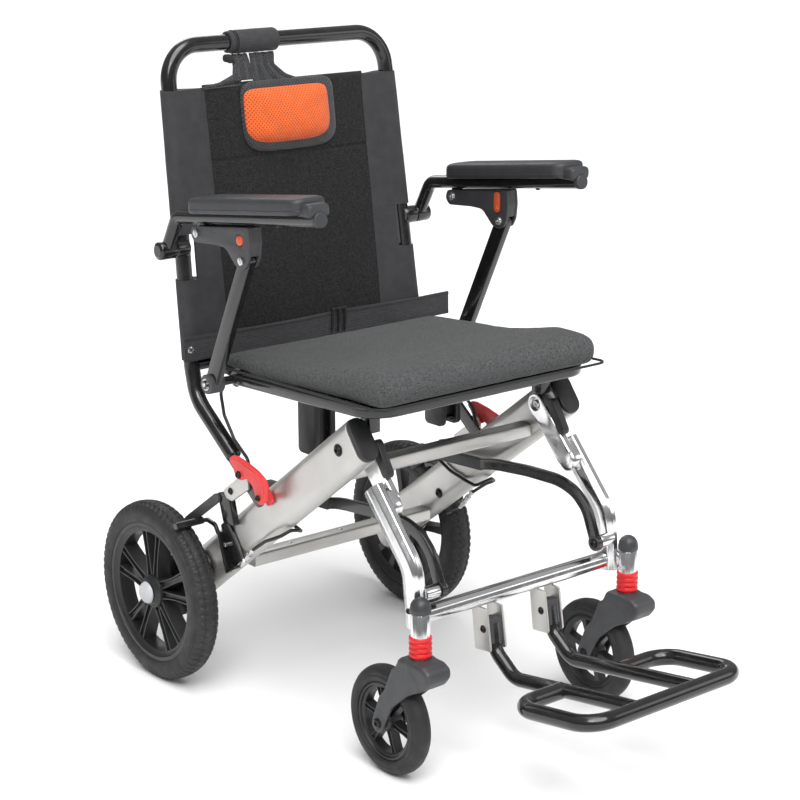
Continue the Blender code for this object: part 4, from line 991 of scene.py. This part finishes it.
def caster_fork(side, s):
    """A moulded fork: crown, swept arms and a wheel pocket, blended by a fine remesh."""
    cx = s * CASTER_X
    parts = []
    crown = lathe("crown", [(0, 0.1758), (0.0175, 0.1758), (0.0200, 0.1745), (0.0213, 0.1700),
                            (0.0216, 0.1500), (0.0200, 0.1400), (0, 0.1400)],
                  (cx, SWIVEL_Y, 0), steps=48)
    parts.append(crown)
    nose = rounded(((-0.1720, 0.1752), (-0.2180, 0.1752), (-0.2305, 0.1690), (-0.2312, 0.1570),
                    (-0.2228, 0.1460), (-0.1990, 0.1320), (-0.1820, 0.1420), (-0.1630, 0.1570)),
                   0.008, True)
    parts.append(plate("nose", (nose,), cx - 0.0206, cx + 0.0206, 0.0060))
    arm_line = rounded(((-0.1611, 0.1580), (-0.1900, 0.1680), (-0.2228, 0.1460),
                        (-0.1904, 0.1278), (-0.1607, 0.1023), (-0.1450, 0.0720),
                        (-0.1420, 0.0620), (-0.1320, 0.0585), (-0.1210, 0.0640),
                        (-0.1207, 0.0744), (-0.1351, 0.1111), (-0.1455, 0.1233)), 0.008, True)
    for d in (-1, 1):
        parts.append(plate("arm", (arm_line,), cx + d * 0.0158, cx + d * 0.0212, 0.0022))
    fork = joined(f"caster_fork_{side}_moulding", parts)
    remesh = fork.modifiers.new("blend", "REMESH")
    remesh.mode, remesh.voxel_size = "VOXEL", 0.0013
    soften = fork.modifiers.new("soften", "SMOOTH")
    soften.iterations, soften.factor = 7, 0.6
    applied(fork)
    wide, deep = 0.0768, 0.0153
    pocket = lathe("pocket", [(0, deep), (wide, deep), (wide, -deep), (0, -deep)],
                   (cx, *CASTER_AXLE), "X", s, 96)
    combined(fork, pocket, "DIFFERENCE")
    finish_mesh(fork, 45)
    put(fork, "plastic", f"caster_{side}", f"caster_fork_{side}")
    washer = lathe(f"swivel_washer_{side}", [(0.0070, 0.1768), (0.0150, 0.1768),
                                             (0.0165, 0.1763), (0.0168, 0.1756),
                                             (0.0168, 0.1748), (0.0070, 0.1748)],
                   (cx, SWIVEL_Y, 0), steps=48, closed=True)
    put(washer, "sleeve", f"caster_{side}")
    for word, d in (("outer", s), ("inner", -s)):
        bolt(f"caster_bolt_{word}_{side}", (cx + d * 0.0212, *CASTER_AXLE), d, 0.0064, 0.0030,
             "black_bolt", f"caster_{side}", 1.15)


# ---------------------------------------------------------------- footrest

def footrest():
    tilt, centre = radians(8.5), Vector((0, -0.3780, 0.1452))

    def spot(x, forward):
        return centre + Vector((x, -forward * cos(tilt), forward * sin(tilt)))
    half, depth = 0.1315, 0.0672
    loop = rounded([spot(-FOOT_ARM_X, -depth), spot(-half, -depth), spot(-half, depth),
                    spot(half, depth), spot(half, -depth), spot(FOOT_ARM_X, -depth)],
                   (0, 0.033, 0.033, 0.033, 0.033, 0), step=6)
    parts = [sweep("loop", loop, ring(0.0108, 32), up=(0, 0, 1))]
    for s in (-1, 1):
        x = s * FOOT_ARM_X
        line = rounded([(x, FOOT_PIVOT[0], 0.1860), (x, -0.186, 0.1505), spot(x, -0.155),
                        spot(x, depth)], (0, 0.03, 0.03, 0), step=6)
        parts.append(sweep("arm", line, ring(0.0094, 32)))
    put(joined("footrest_loop", parts), "black", "footrest", "footrest")
    for side, s in SIDES:
        x = s * FOOT_ARM_X
        sleeve = sweep(f"footrest_sleeve_{side}", [(x, -0.1765, 0.1925), (x, -0.1788, 0.1780),
                                                   (x, -0.1815, 0.1600)],
                       rect(0.0206, 0.0210, 0.0030), tip=0.0012)
        put(sleeve, "sleeve", "footrest")


# ---------------------------------------------------------------- back

def back_line(z):
    """(X, Y) of the left upright's middle at this height."""
    x = 0.188 + (0.84 - z) * 0.0274
    y = 0.277 + (z - 0.462) * 0.131 if z < 0.607 else 0.296 + (z - 0.607) * 0.1342
    return x, y


def back_tube():
    half = [(*back_line(z), z) for z in (BACK_FOOT[1], 0.607)] + [(0.1865, *HANDLE)]
    left = [(0.1995, 0.1780, 0.3550), (0.1995, 0.2640, 0.4180)] + half
    right = [(-x, y, z) for x, y, z in reversed(left)]
    radii = [0, 0.06, 0.08, 0.3, 0.050, 0.050, 0.3, 0.08, 0.06, 0]
    loop = sweep("back_loop", rounded(left + right, radii, step=5), ring(0.011, 32), tip=0.002)
    put(loop, "black", "back_frame", "back_tube")
    rod = sweep("seat_axle_rod", [(x, *SEAT_PIVOT) for x in (-0.2370, 0.0, 0.2370)],
                ring(0.0060, 24), up=(0, 1, 0), tip=0.001)
    put(rod, "black", "back_frame")
    for side, s in SIDES:
        back_fittings(side, s)


def back_fittings(side, s):
    """One side's hinge plate, seat bracket, arm boss, clipped cable and axle nut."""
    hinge = plate(f"back_hinge_{side}", (capsule(BACK_PIVOT, (0.190, 0.3640), 0.0105, 14),),
                  s * 0.1995, s * 0.2045, 0.0010)
    put(hinge, "black", "back_frame")
    spacer = [lathe("spacer", [(0, 0), (0.0070, 0), (0.0075, -0.0006), (0.0075, -0.0310),
                               (0, -0.0310)], (s * 0.1950, *BACK_FOOT), "X", s, 24),
              plate("tongue", (capsule(BACK_FOOT, SEAT_PIVOT, 0.0085, 12),),
                    s * 0.1635, s * 0.1670, 0.0006)]
    put(joined(f"seat_bracket_{side}", spacer), "black", "back_frame")
    boss = lathe(f"arm_boss_{side}", [(0, 0.0), (0.0112, 0.0), (0.0125, -0.0012),
                                      (0.0125, -0.0180), (0.0105, -0.0215), (0, -0.0215)],
                 (s * 0.2118, *ARM_PIVOT), "X", s, 36)
    put(boss, "black", "back_frame")
    cable = rounded([(s * 0.2014, 0.193, 0.457), (s * 0.2014, 0.204, 0.440),
                     (s * 0.2014, 0.197, 0.410), (s * 0.2014, 0.174, 0.380),
                     (s * 0.2014, 0.144, 0.360), (s * 0.2014, 0.137, 0.332)], 0.012)
    put(sweep(f"upper_cable_{side}", cable, ring(0.0023, 16)), "cable", "back_frame")
    nut(f"seat_axle_nut_{side}", (s * 0.2345, *SEAT_PIVOT), s, 0.0065, 0.0022, "steel",
        "back_frame")


def seam(value, at, width):
    """A narrow bump of one at the seam, falling to nothing beside it."""
    return np.exp(-((value - at) / width) ** 2)


def back_panel():
    """The charcoal cloth between the bands, with its sewn lines and soft puffs."""
    rows, cols, half, across_seam = 150, 130, PANEL_HALF, 0.7350
    points = []
    for i in range(rows + 1):
        z = PANEL_LOW + (PANEL_TOP - PANEL_LOW) * i / rows
        y0 = back_line(z)[1] - 0.0052
        for j in range(cols + 1):
            x = -half + 2 * half * j / cols
            across = max(0.0, 1 - (x / half) ** 4)
            lines = 1.3 * seam(z, across_seam, 0.0016)
            below = min(1.0, max(0.0, (across_seam - z) / 0.004))
            lines += below * (seam(x, -0.0045, 0.0014) + seam(x, 0.0400, 0.0014))
            lines += 0.8 * (seam(abs(x), half - 0.0035, 0.0012))
            puff = 0.0016 * across * (1 - 0.6 * seam(z, across_seam, 0.020))
            ripple = 0.0009 * noise.noise(Vector((x * 16, z * 11, 3.0)))
            points.append((x, y0 - puff - ripple + 0.0013 * min(lines, 1.4), z))
    panel = made("back_sling_panel", points, sheet_faces(rows, cols), 180)
    applied(thickened(panel, 0.0030))
    put(panel, "back_cloth", "back_frame", "back_sling")
    return panel


def band_sleeve(name, s, z0, z1, wrap):
    """The grey edge cloth: flat beside the panel and, where it wraps, round the tube."""
    rows, points, inner = 40, [], 0.1355
    for i in range(rows + 1):
        z = z0 + (z1 - z0) * i / rows
        x, y = back_line(z)
        line = [(inner, y - 0.0060), (inner + 0.0015, y - 0.0072), (0.150, y - 0.0080)]
        if wrap:
            r = 0.0130
            line += [(x - 0.020, y - 0.0092), (x - 0.011, y - 0.0118)]
            line += [(x + r * sin(radians(a)), y - r * cos(radians(a)))
                     for a in range(-20, 181, 20)]
            line += [(x - 0.012, y + 0.0118), (x - 0.022, y + 0.0072), (0.150, y - 0.0005),
                     (inner + 0.002, y - 0.0022)]
        else:
            line += [(x - 0.020, y - 0.0088), (x - 0.0165, y - 0.0080), (x - 0.0160, y - 0.0050),
                     (x - 0.020, y - 0.0030), (0.150, y - 0.0020), (inner + 0.002, y - 0.0022)]
        wave = 0.0007 * noise.noise(Vector((5 * s, z * 17, 1.0)))
        points += [(s * a, b + wave, z) for a, b in line]
    faces = loft_faces(rows + 1, len(points) // (rows + 1))
    return put(made(name, points, faces, 50), "band", "back_frame")


def back_sling():
    panel = back_panel()
    for side, s in SIDES:
        for word, z0, z1, wrap in (("lower", 0.4715, 0.5810, True),
                                   ("middle", 0.5810, 0.6430, False),
                                   ("upper", 0.6430, 0.8345, True)):
            band_sleeve(f"sling_{word}_band_{side}", s, z0, z1, wrap)
    for word, z in (("top", PANEL_TOP), ("bottom", PANEL_LOW + 0.0003)):
        y = back_line(z)[1] - 0.0050
        hem = sweep(f"sling_hem_{word}", [(x / 10 * PANEL_HALF, y, z) for x in range(-10, 11)],
                    rect(0.0046, 0.0090, 0.0018), up=(0, 1, 0))
        put(hem, "binding", "back_frame")


def pillow_form(name, x0, x1, z0, z1, deep, radii, rows=26, cols=34, lean=0.0):
    """A crowned pillow that lies on the back's plane, its outline rounded at the corners."""
    points, (low, high) = [], radii
    cx, cz = (x0 + x1) / 2, (z0 + z1) / 2
    hx, hz = (x1 - x0) / 2, (z1 - z0) / 2
    for i in range(rows + 1):
        v = -cos(pi * i / rows)
        for j in range(cols + 1):
            u = -cos(pi * j / cols)
            power = 2.6 + (high if v > 0 else low)
            reach = (abs(u) ** power + abs(v) ** power) ** (1 / power)
            square = max(abs(u), abs(v))
            shrink = square / reach if reach > 0 else 1
            x, z = cx + hx * u * shrink, cz + hz * v * shrink
            crown = max(0.0, 1 - square ** 2.4) ** 0.52
            y = back_line(z)[1] - 0.0075 - deep * crown * (1 + lean * v)
            points.append((x, y, z))
    front = made(name, points, sheet_faces(rows, cols), 180)
    return finish_mesh(applied(thickened(front, 0.004, 1.0)), 180)


def headrest():
    pillow = pillow_form("headrest_pillow", -0.0750, 0.0670, 0.7540, 0.8270, 0.0150, (1.6, 7.0),
                         lean=-0.12)
    put(pillow, "orange_mesh", "back_frame", "headrest")
    border = pillow_form("headrest_border", -0.0775, 0.0775, 0.7440, 0.8345, 0.0055, (2.2, 6.0))
    put(border, "black_mesh", "back_frame")
    edge, steps, power = [], 59, 4.4
    for k in range(steps + 1):
        u, v = cos(-pi * k / steps), sin(-pi * k / steps)
        r = (abs(u) ** power + abs(v) ** power) ** (-1 / power)
        x, z = 0.0768 * u * r, 0.8330 + 0.0885 * v * r
        edge.append((x, back_line(z)[1] - 0.0088, z))
    put(sweep("headrest_piping", edge, ring(0.0017, 12), up=(0, 1, 0)), "binding", "back_frame")


def drape(name, left, right, y_top, y_low, folds, phase):
    """A gathered sheet that hangs between two edges, given as (X, Z) from the top down."""
    rows, cols, points = 12, 16, []

    def edge(line, t):
        spot = t * (len(line) - 1)
        k = min(int(spot), len(line) - 2)
        return Vector(line[k]).lerp(Vector(line[k + 1]), spot - k)
    for i in range(rows + 1):
        t = i / rows
        one, two = edge(left, t), edge(right, t)
        for j in range(cols + 1):
            u = j / cols
            spot = one.lerp(two, u)
            fold = 0.0016 * (1 - 0.55 * t) * sin(2 * pi * folds * u + phase + 1.5 * t)
            points.append((spot.x, y_top + (y_low - y_top) * t ** 0.8 + fold, spot.y))
    sheet = thickened(made(name, points, sheet_faces(rows, cols), 180), 0.0016)
    finer = sheet.modifiers.new("finer", "SUBSURF")
    finer.levels = finer.render_levels = 1
    applied(sheet)
    return put(finish_mesh(sheet, 180), "black_mesh", "back_frame")


def handle_strap():
    """The band round the handle and the narrow loops beside it."""
    rows = [(0.0128, -0.0750), (0.0158, -0.0762), (0.0163, -0.0740), (0.0161, -0.0600),
            (0.0163, -0.0420), (0.0161, -0.0240), (0.0163, -0.0100), (0.0158, -0.0078),
            (0.0128, -0.0084)]
    wrap = lathe("handle_strap_band", rows, (0, *HANDLE), "X", 1, 56, closed=True,
                 shape=lambda k, a: 1 + 0.010 * sin(3 * a + k) if 0 < k < 8 else 1.0, angle=60)
    put(wrap, "webbing", "back_frame", "handle_strap")
    for k, (x, wide, r, look) in enumerate(((-0.0822, 0.0115, 0.0152, "band"),
                                            (-0.0790, 0.0040, 0.0165, "binding"),
                                            (-0.0370, 0.0050, 0.0165, "webbing"))):
        rows = [(0.0116, wide / 2), (r - 0.0015, wide / 2), (r - 0.0004, wide / 2 - 0.0008), (r, 0),
                (r - 0.0004, 0.0008 - wide / 2), (r - 0.0015, -wide / 2), (0.0116, -wide / 2)]
        put(lathe(f"handle_loop_{k}", rows, (x, *HANDLE), "X", 1, 40, closed=True), look,
            "back_frame")
    headrest_hanger()


def headrest_hanger():
    """The knot at the handle, and the gathered cloth that carries the headrest."""
    knot = [block("knot", (-0.0975, 0.3225, 0.8655), (-0.0840, 0.3330, 0.8765), 0.0042),
            block("knot", (-0.0930, 0.3205, 0.8640), (-0.0815, 0.3300, 0.8730), 0.0038)]
    put(joined("headrest_knot", knot), "binding", "back_frame")
    low = back_line(0.838)[1] - 0.0085
    sheets = [
        drape("hanger_left", ((-0.0830, 0.8760), (-0.0850, 0.8600), (-0.0900, 0.8400)),
              ((-0.0575, 0.8760), (-0.0560, 0.8600), (-0.0520, 0.8400)), 0.3300, low, 2.5, 0.4),
        drape("hanger_right", ((-0.0535, 0.8760), (-0.0540, 0.8600), (-0.0530, 0.8380),
                               (-0.0530, 0.8340)),
              ((-0.0115, 0.8760), (-0.0145, 0.8590), (0.0040, 0.8440), (0.0325, 0.8340)),
              0.3300, low, 3.5, 2.0),
        drape("hanger_wing", ((-0.0780, 0.8525), (-0.1110, 0.8400), (-0.1414, 0.8350)),
              ((-0.0700, 0.8330), (-0.1000, 0.8330), (-0.1400, 0.8325)), low + 0.002, low,
              1.5, 1.0)]


def lap_belt():
    low, high = 0.4722, 0.5066
    middle = (low + high) / 2
    line = []
    for k in range(41):
        x = -0.219 + 0.475 * k / 40
        bow = 0.0009 * sin(x * 31) + 0.0005 * sin(x * 83 + 1)
        line.append((x, 0.2632 + bow * 0.7, middle + 0.0006 * sin(x * 23)))
    belt = sweep("belt_webbing", line, rect(high - low, 0.0019, 0.0008), up=(0, 0, 1))
    put(belt, "webbing", "back_frame", "lap_belt")
    for k, z in enumerate((low + 0.0030, high - 0.0030)):
        stitch = sweep(f"belt_edge_{k}", [(x, y - 0.0011, z + (zz - middle)) for x, y, zz in line],
                       rect(0.0030, 0.0006, 0.0002), up=(0, 0, 1))
        put(stitch, "band", "back_frame")
    slide = [block("bar", (x, 0.2578, low + 0.0015), (x + 0.0040, 0.2618, high + 0.0062), 0.0012)
             for x in (0.0325, 0.0437, 0.0548)]
    slide += [block("rail", (0.0325, 0.2582, z), (0.0588, 0.2614, z + 0.0030), 0.0010)
              for z in (low + 0.0015, high + 0.0032)]
    put(joined("belt_slide", slide), "rim", "back_frame", "belt_buckle")
    screw = lathe("belt_rivet", [(0, 0.0016), (0.0030, 0.0014), (0.0046, 0.0006), (0.0048, 0.0),
                                 (0, 0.0)], (0, 0, 0), steps=24)
    screw.data.transform(Matrix.Translation((-0.2095, 0.2622, middle))
                         @ Matrix.Rotation(pi / 2, 4, "X"))
    put(finish_mesh(screw), "steel", "back_frame")


# ---------------------------------------------------------------- seat

# Lays a plate that stands parallel to the chair's side flat, its outline in X and Y
LAID_FLAT = Matrix(((0, 1, 0, 0), (0, 0, 1, 0), (1, 0, 0, 0), (0, 0, 0, 1)))


def seat_z(y):
    """The height of the seat's sloping plane."""
    return SEAT_PIVOT[1] + (SEAT_PIVOT[0] - y) * tan(SEAT_SLOPE)


def seat_frame():
    front = -0.105
    line = rounded([(x, y, seat_z(y)) for x, y in
                    ((-SEAT_HALF, 0.189), (-SEAT_HALF, front), (SEAT_HALF, front),
                     (SEAT_HALF, 0.189))], 0.034, step=6)
    rail = sweep("seat_rail", line, rect(0.0158, 0.0160, 0.0045), up=(0, 0, 1), tip=0.002)
    put(rail, "black", "seat", "seat_frame")
    lip = sweep("seat_rail_lip", [(p.x, p.y, p.z + 0.0052) for p in line],
                rect(0.0022, 0.0172, 0.0008), up=(0, 0, 1), tip=0.0008)
    put(lip, "plastic", "seat")
    seat_tabs()
    seat_pan(front)


def seat_tabs():
    """The eyes round the seat axle, and the tabs that rest on the main tubes."""
    extras = []
    for s in (1, -1):
        extras.append(lathe("eye", [(0.0066, 0.0073), (0.0104, 0.0073), (0.0112, 0.0065),
                                    (0.0112, -0.0065), (0.0104, -0.0073), (0.0066, -0.0073)],
                            (s * 0.1794, *SEAT_PIVOT), "X", s, 32, closed=True))
        extras.append(block("tab", (s * 0.1490 - 0.0088, -0.064, 0.4326),
                            (s * 0.1490 + 0.0088, -0.044, 0.4700), 0.0015))
        extras.append(block("tab_arm", (s * 0.1680 - 0.0120, -0.056, 0.4636),
                            (s * 0.1680 + 0.0120, -0.044, 0.4710), 0.0010))
    put(joined("seat_tabs", extras), "black", "seat")


def seat_pan(front):
    outline = rounded(((-SEAT_HALF, front + 0.004), (SEAT_HALF, front + 0.004),
                       (SEAT_HALF, 0.170), (-SEAT_HALF, 0.170)), (0.031, 0.031, 0.004, 0.004),
                      True)
    pan = plate("seat_pan", (outline,), -0.002, 0.002, 0.0006)
    pan.data.transform(Matrix.Translation((0, 0, seat_z(0)))
                       @ Matrix.Rotation(-SEAT_SLOPE, 4, "X") @ LAID_FLAT)
    put(finish_mesh(pan), "plastic", "seat")


def seat_support(side, s):
    """An upright moulded channel: two flanges with a deep recess between them."""
    outline = rounded(((0.089, 0.449), (0.127, 0.449), (0.127, 0.361), (0.089, 0.361)), 0.0075,
                      True)
    pieces = [plate("flange", (outline,), s * x0, s * x1, 0.0016)
              for x0, x1 in ((0.094, 0.103), (0.121, 0.130))]
    pieces.append(block("web", (s * 0.112 - 0.0100, 0.098, 0.366),
                        (s * 0.112 + 0.0100, 0.120, 0.4480), 0.0010))
    pieces += [block("rib", (s * 0.112 - 0.0100, 0.0925, z), (s * 0.112 + 0.0100, 0.0990, z + 0.0030),
                     0.0008) for z in (0.3700, 0.4360)]
    put(joined(f"seat_channel_{side}", pieces), "rim", "seat", f"seat_support_{side}")


def swollen(obj, voxel, cap, pressure=4.0):
    """Cloth inflation of a remeshed copy, each point moved by cap at most, then applied."""
    remesh = obj.modifiers.new("voxels", "REMESH")
    remesh.mode, remesh.voxel_size = "VOXEL", voxel
    applied(obj)
    rest = np.array([v.co for v in obj.data.vertices])
    cloth = obj.modifiers.new("cloth", "CLOTH")
    cloth.settings.use_pressure = True
    cloth.settings.uniform_pressure_force = pressure
    cloth.settings.effector_weights.gravity = 0
    cloth.settings.quality = 5
    cloth.settings.mass = 0.3
    for number in range(1, 21):
        bpy.context.scene.frame_set(number)
    applied(obj)
    bpy.context.scene.frame_set(1)
    moved = np.array([v.co for v in obj.data.vertices])
    step = moved - rest
    size = np.linalg.norm(step, axis=1, keepdims=True)
    step *= np.minimum(1.0, cap / np.maximum(size, 1e-9))
    obj.data.vertices.foreach_set("co", (rest + step).ravel())
    return obj


def cushion_outline(inset):
    half, front, rear = 0.196 - inset, -0.133 + inset, 0.228 - inset
    return rounded(((-half, front), (half, front), (half, rear), (-half, rear)),
                   (0.015, 0.015, 0.012, 0.012), True, 6)


def cushion_low(y):
    """The height of the pad's flat underside, stepped up behind over the back's tongues."""
    return np.where(y < 0.162, seat_z(y) + 0.0088, 0.4724)


def seat_cushion():
    """The seat pad: swollen by cloth pressure, then shaped to its wedge with a front roll."""
    thick = 0.0300
    slab = plate("seat_cushion_pad", (cushion_outline(0.0045),), -thick / 2, thick / 2, 0.010)
    slab.data.transform(LAID_FLAT)
    swollen(slab, 0.0045, 0.0050)
    x, y, z = np.array([v.co for v in slab.data.vertices]).T
    low = cushion_low(y)
    top = np.interp(y, (-0.1330, -0.1070, -0.0620, -0.0150, 0.0330, 0.1900, 0.2280),
                    (0.5150, 0.5169, 0.5172, 0.5085, 0.5006, 0.4902, 0.4870))
    share = (z + thick / 2) / thick
    z = np.maximum(low + share * (top - low), low)
    x, y = np.clip(x, -0.1972, 0.1972), np.clip(y, -0.1350, 0.2290)
    slab.data.vertices.foreach_set("co", np.stack([x, y, z], 1).ravel())
    smooth = slab.modifiers.new("relax", "SMOOTH")
    smooth.iterations, smooth.factor = 4, 0.5
    finer = slab.modifiers.new("finer", "SUBSURF")
    finer.levels = finer.render_levels = 1
    applied(slab)
    put(finish_mesh(slab, 180), "seat_cloth", "seat", "seat_cushion")
    line = [(p.x, p.y, float(cushion_low(p.y)) + 0.0014) for p in cushion_outline(0.0)]
    put(sweep("seat_trim", line, ring(0.0018, 14), closed=True, up=(0, 0, 1)), "binding", "seat")


# ---------------------------------------------------------------- armrests

def arm_rise(y):
    """The height of the arm tube's middle line."""
    return ARM_REAR[1] + (ARM_REAR[0] - y) * (
        (ARM_FRONT[1] - ARM_REAR[1]) / (ARM_REAR[0] - ARM_FRONT[0]))


def arm_tube(side, s):
    body, x = f"armrest_{side}", s * ARM_X
    line = rounded([(x, *ARM_PIVOT), (x, 0.264, 0.675), (x, *ARM_REAR), (x, *ARM_FRONT)],
                   (0, 0.022, 0.05, 0), step=6)
    put(sweep(f"arm_bar_{side}", line, ring(0.0095, 32)), "black", body, f"arm_tube_{side}")
    barrel = lathe(f"arm_barrel_{side}", [(0, 0.0261), (0.0080, 0.0261), (0.0092, 0.0250),
                                          (0.0118, 0.0240), (0.0125, 0.0228), (0.0125, 0.0010),
                                          (0.0118, 0.0), (0, 0.0)],
                   (s * 0.2124, *ARM_PIVOT), "X", s, 40)
    put(barrel, "black", body)
    lug = plate(f"arm_lug_{side}", (capsule(BRACKET_PIVOT, (0.205, 0.683), 0.0085, 12),),
                x - 0.0035, x + 0.0035, 0.0008)
    put(lug, "black", body)
    end = Vector((x, -0.0530, arm_rise(-0.0530)))
    tail = Vector((x, -0.0440, arm_rise(-0.0440)))
    cap = sweep(f"arm_end_cap_{side}", [end, end.lerp(tail, 0.4), tail], ring(0.0101, 32),
                tip=0.0020)
    put(cap, "pad", body)
    screw = lathe(f"arm_screw_{side}", [(0, -0.0022), (0.0026, -0.0020), (0.0036, -0.0006),
                                        (0.0036, 0.0010), (0, 0.0010)],
                  (x, 0.0350, arm_rise(0.0350) - 0.0092), steps=20)
    put(screw, "black_bolt", body)


def arm_pad(side, s):
    """A moulded pad: crowned top, soft edges, and a lower skirt that hugs the tube."""
    rear, front, half, tall = 0.208, -0.034, 0.0275, 0.0285
    rows = [(0.0070, 0.90), (0.0075, 0.95), (0.0090, 0.98), (0.0130, 1.0), (0.0210, 1.0),
            (0.0236, 0.985), (0.0258, 0.945), (0.0273, 0.875), (0.0280, 0.77), (0.0283, 0.50),
            (0.0284, 0.25)]
    middle, reach = (rear + front) / 2, (rear - front) / 2
    outline = rounded(((-half, -reach), (half, -reach), (half, reach), (-half, reach)),
                      0.0165, True, 6)
    points = []
    for lift, share in rows:
        inset = (1 - share) * half
        for p in outline:
            fx = max(0.0, abs(p.x) - inset) / max(abs(p.x), 1e-9)
            fy = max(0.0, abs(p.y) - inset) / max(abs(p.y), 1e-9)
            y = middle + p.y * fy
            crown = 0.0008 * cos(pi * (p.y * fy) / (2.4 * reach))
            points.append((s * ARM_X + p.x * fx, y, arm_rise(y) + lift + crown * (lift / tall)))
    pad = made(f"arm_pad_{side}_skin", points, loft_faces(len(rows), len(outline)), 180)
    nose = block("nose", (s * ARM_X - 0.0170, -0.0500, arm_rise(front) + 0.0040),
                 (s * ARM_X + 0.0170, front + 0.0220, arm_rise(front) + 0.0215), 0.0060, 5)
    groove = sweep("groove", [(s * ARM_X, y, arm_rise(y)) for y in (0.300, -0.0700)],
                   ring(0.0103, 24))
    combined(pad, nose, "UNION")
    combined(pad, groove, "DIFFERENCE")
    finish_mesh(pad, 50)
    put(pad, "pad", f"armrest_{side}", f"arm_pad_{side}")
    seam_line = [(s * ARM_X + p.x * 1.004, middle + p.y * 1.001,
                  arm_rise(middle + p.y) + 0.0125) for p in outline]
    put(sweep(f"arm_pad_line_{side}", seam_line, ring(0.0006, 8), closed=True, up=(0, 0, 1)),
        "pad", f"armrest_{side}")


def bracket_outline():
    points = ((0.2160, 0.6700), (0.0880, 0.6860), (0.0855, 0.6650), (0.0880, 0.6440),
              (0.0940, 0.6330), (0.1060, 0.6275), (0.1190, 0.6320), (0.1400, 0.6520),
              (0.1640, 0.6525), (0.2120, 0.6490), (0.2200, 0.6585))
    radii = (0.006, 0.003, 0.010, 0.010, 0.008, 0.012, 0.012, 0.018, 0.040, 0.007, 0.008)
    return rounded(points, radii, True, 8)


def button_slot(radius, sides):
    """The upright slot round the button, as wide as two radii."""
    y, z = BUTTON
    return capsule((y, z - SLOT_REACH), (y, z + SLOT_REACH), radius, sides)


def arm_bracket(side, s):
    """Two cheeks either side of the strut, joined by a web at the front."""
    body = f"bracket_{side}"
    slot = button_slot(0.0062, 10)
    outer = plate(f"bracket_outer_{side}", (bracket_outline(), circle(BUTTON, 0.0078)),
                  s * OUTER_CHEEK[0], s * OUTER_CHEEK[1], 0.0011)
    put(outer, "plastic", body, f"arm_bracket_{side}")
    inner = plate(f"bracket_inner_{side}", (bracket_outline(), slot), s * INNER_CHEEK[0],
                  s * INNER_CHEEK[1], 0.0011)
    put(inner, "plastic", body)
    web = rounded(((0.0930, 0.6845), (0.0885, 0.6850), (0.0862, 0.6650), (0.0885, 0.6470),
                   (0.0905, 0.6470)), 0.0010, True)
    put(plate(f"bracket_web_{side}", (web,), s * 0.2140, s * 0.2300, 0.0006), "plastic", body)
    for name, spot in (("pivot", BRACKET_PIVOT), ("lower", BRACKET_BOLT)):
        nut(f"bracket_{name}_nut_{side}", (s * 0.2318, *spot), s, 0.0060, 0.0034, "steel", body)
        bolt(f"bracket_{name}_bolt_{side}", (s * 0.2122, *spot), -s, 0.0057, 0.0034, "steel",
             body, 1.15)
    pin = lathe(f"bracket_pin_{side}", [(0, 0.0), (0.0040, 0.0), (0.0040, 0.0140), (0, 0.0140)],
                (s * 0.2150, *BRACKET_PIVOT), "X", s, 20)
    put(pin, "steel", body)


def arm_button(side, s):
    body = f"button_{side}"
    head = lathe(f"button_head_{side}", [(0, 0.0046), (0.0020, 0.0047), (0.0052, 0.0044),
                                         (0.0066, 0.0034), (0.0070, 0.0022), (0.0070, 0.0),
                                         (0, 0.0)],
                 (s * 0.2292, *BUTTON), "X", s, 40, angle=60)
    put(head, "orange", body, f"arm_button_{side}")
    tongue = plate(f"button_tongue_{side}", (button_slot(0.0057, 14),), s * 0.2104, s * 0.2144,
                   0.0012)
    put(tongue, "orange", body)
    shank = lathe(f"button_shank_{side}", [(0, 0.0), (0.0030, 0.0), (0.0030, 0.0170), (0, 0.0170)],
                  (s * 0.2130, *BUTTON), "X", s, 16)
    put(shank, "orange", body)
    bolt(f"button_screw_{side}", (s * 0.2105, BUTTON[0], BUTTON[1] - 0.0080), -s, 0.0034, 0.0014,
         "orange", body, 1.0)


def arm_strut(side, s):
    body, x = f"strut_{side}", s * ARM_X
    bar = plate(f"strut_bar_{side}", (capsule(SEAT_PIVOT, BRACKET_BOLT, 0.0115, 16),),
                x - 0.0056, x + 0.0056, 0.0013)
    put(bar, "black", body, f"arm_strut_{side}")
    clamp = lathe(f"strut_clamp_{side}", [(0.0064, 0.0118), (0.0120, 0.0118), (0.0135, 0.0104),
                                          (0.0135, -0.0104), (0.0120, -0.0118), (0.0064, -0.0118)],
                  (x, *SEAT_PIVOT), "X", s, 40, closed=True)
    put(clamp, "plastic", body)


# ---------------------------------------------------------------- assembly

for make in (main_tube, axle_region, brake_linkage, fold_lever, front_leg, foot_bracket,
             link_bar, rear_wheel, caster_wheel, caster_fork, seat_support, arm_tube, arm_pad,
             arm_bracket, arm_button, arm_strut):
    for side_name, sign in SIDES:
        make(side_name, sign)
for make in (crossbars, front_crossbar, footrest, back_tube, back_sling, headrest,
             handle_strap, lap_belt, seat_frame, seat_cushion):
    make()
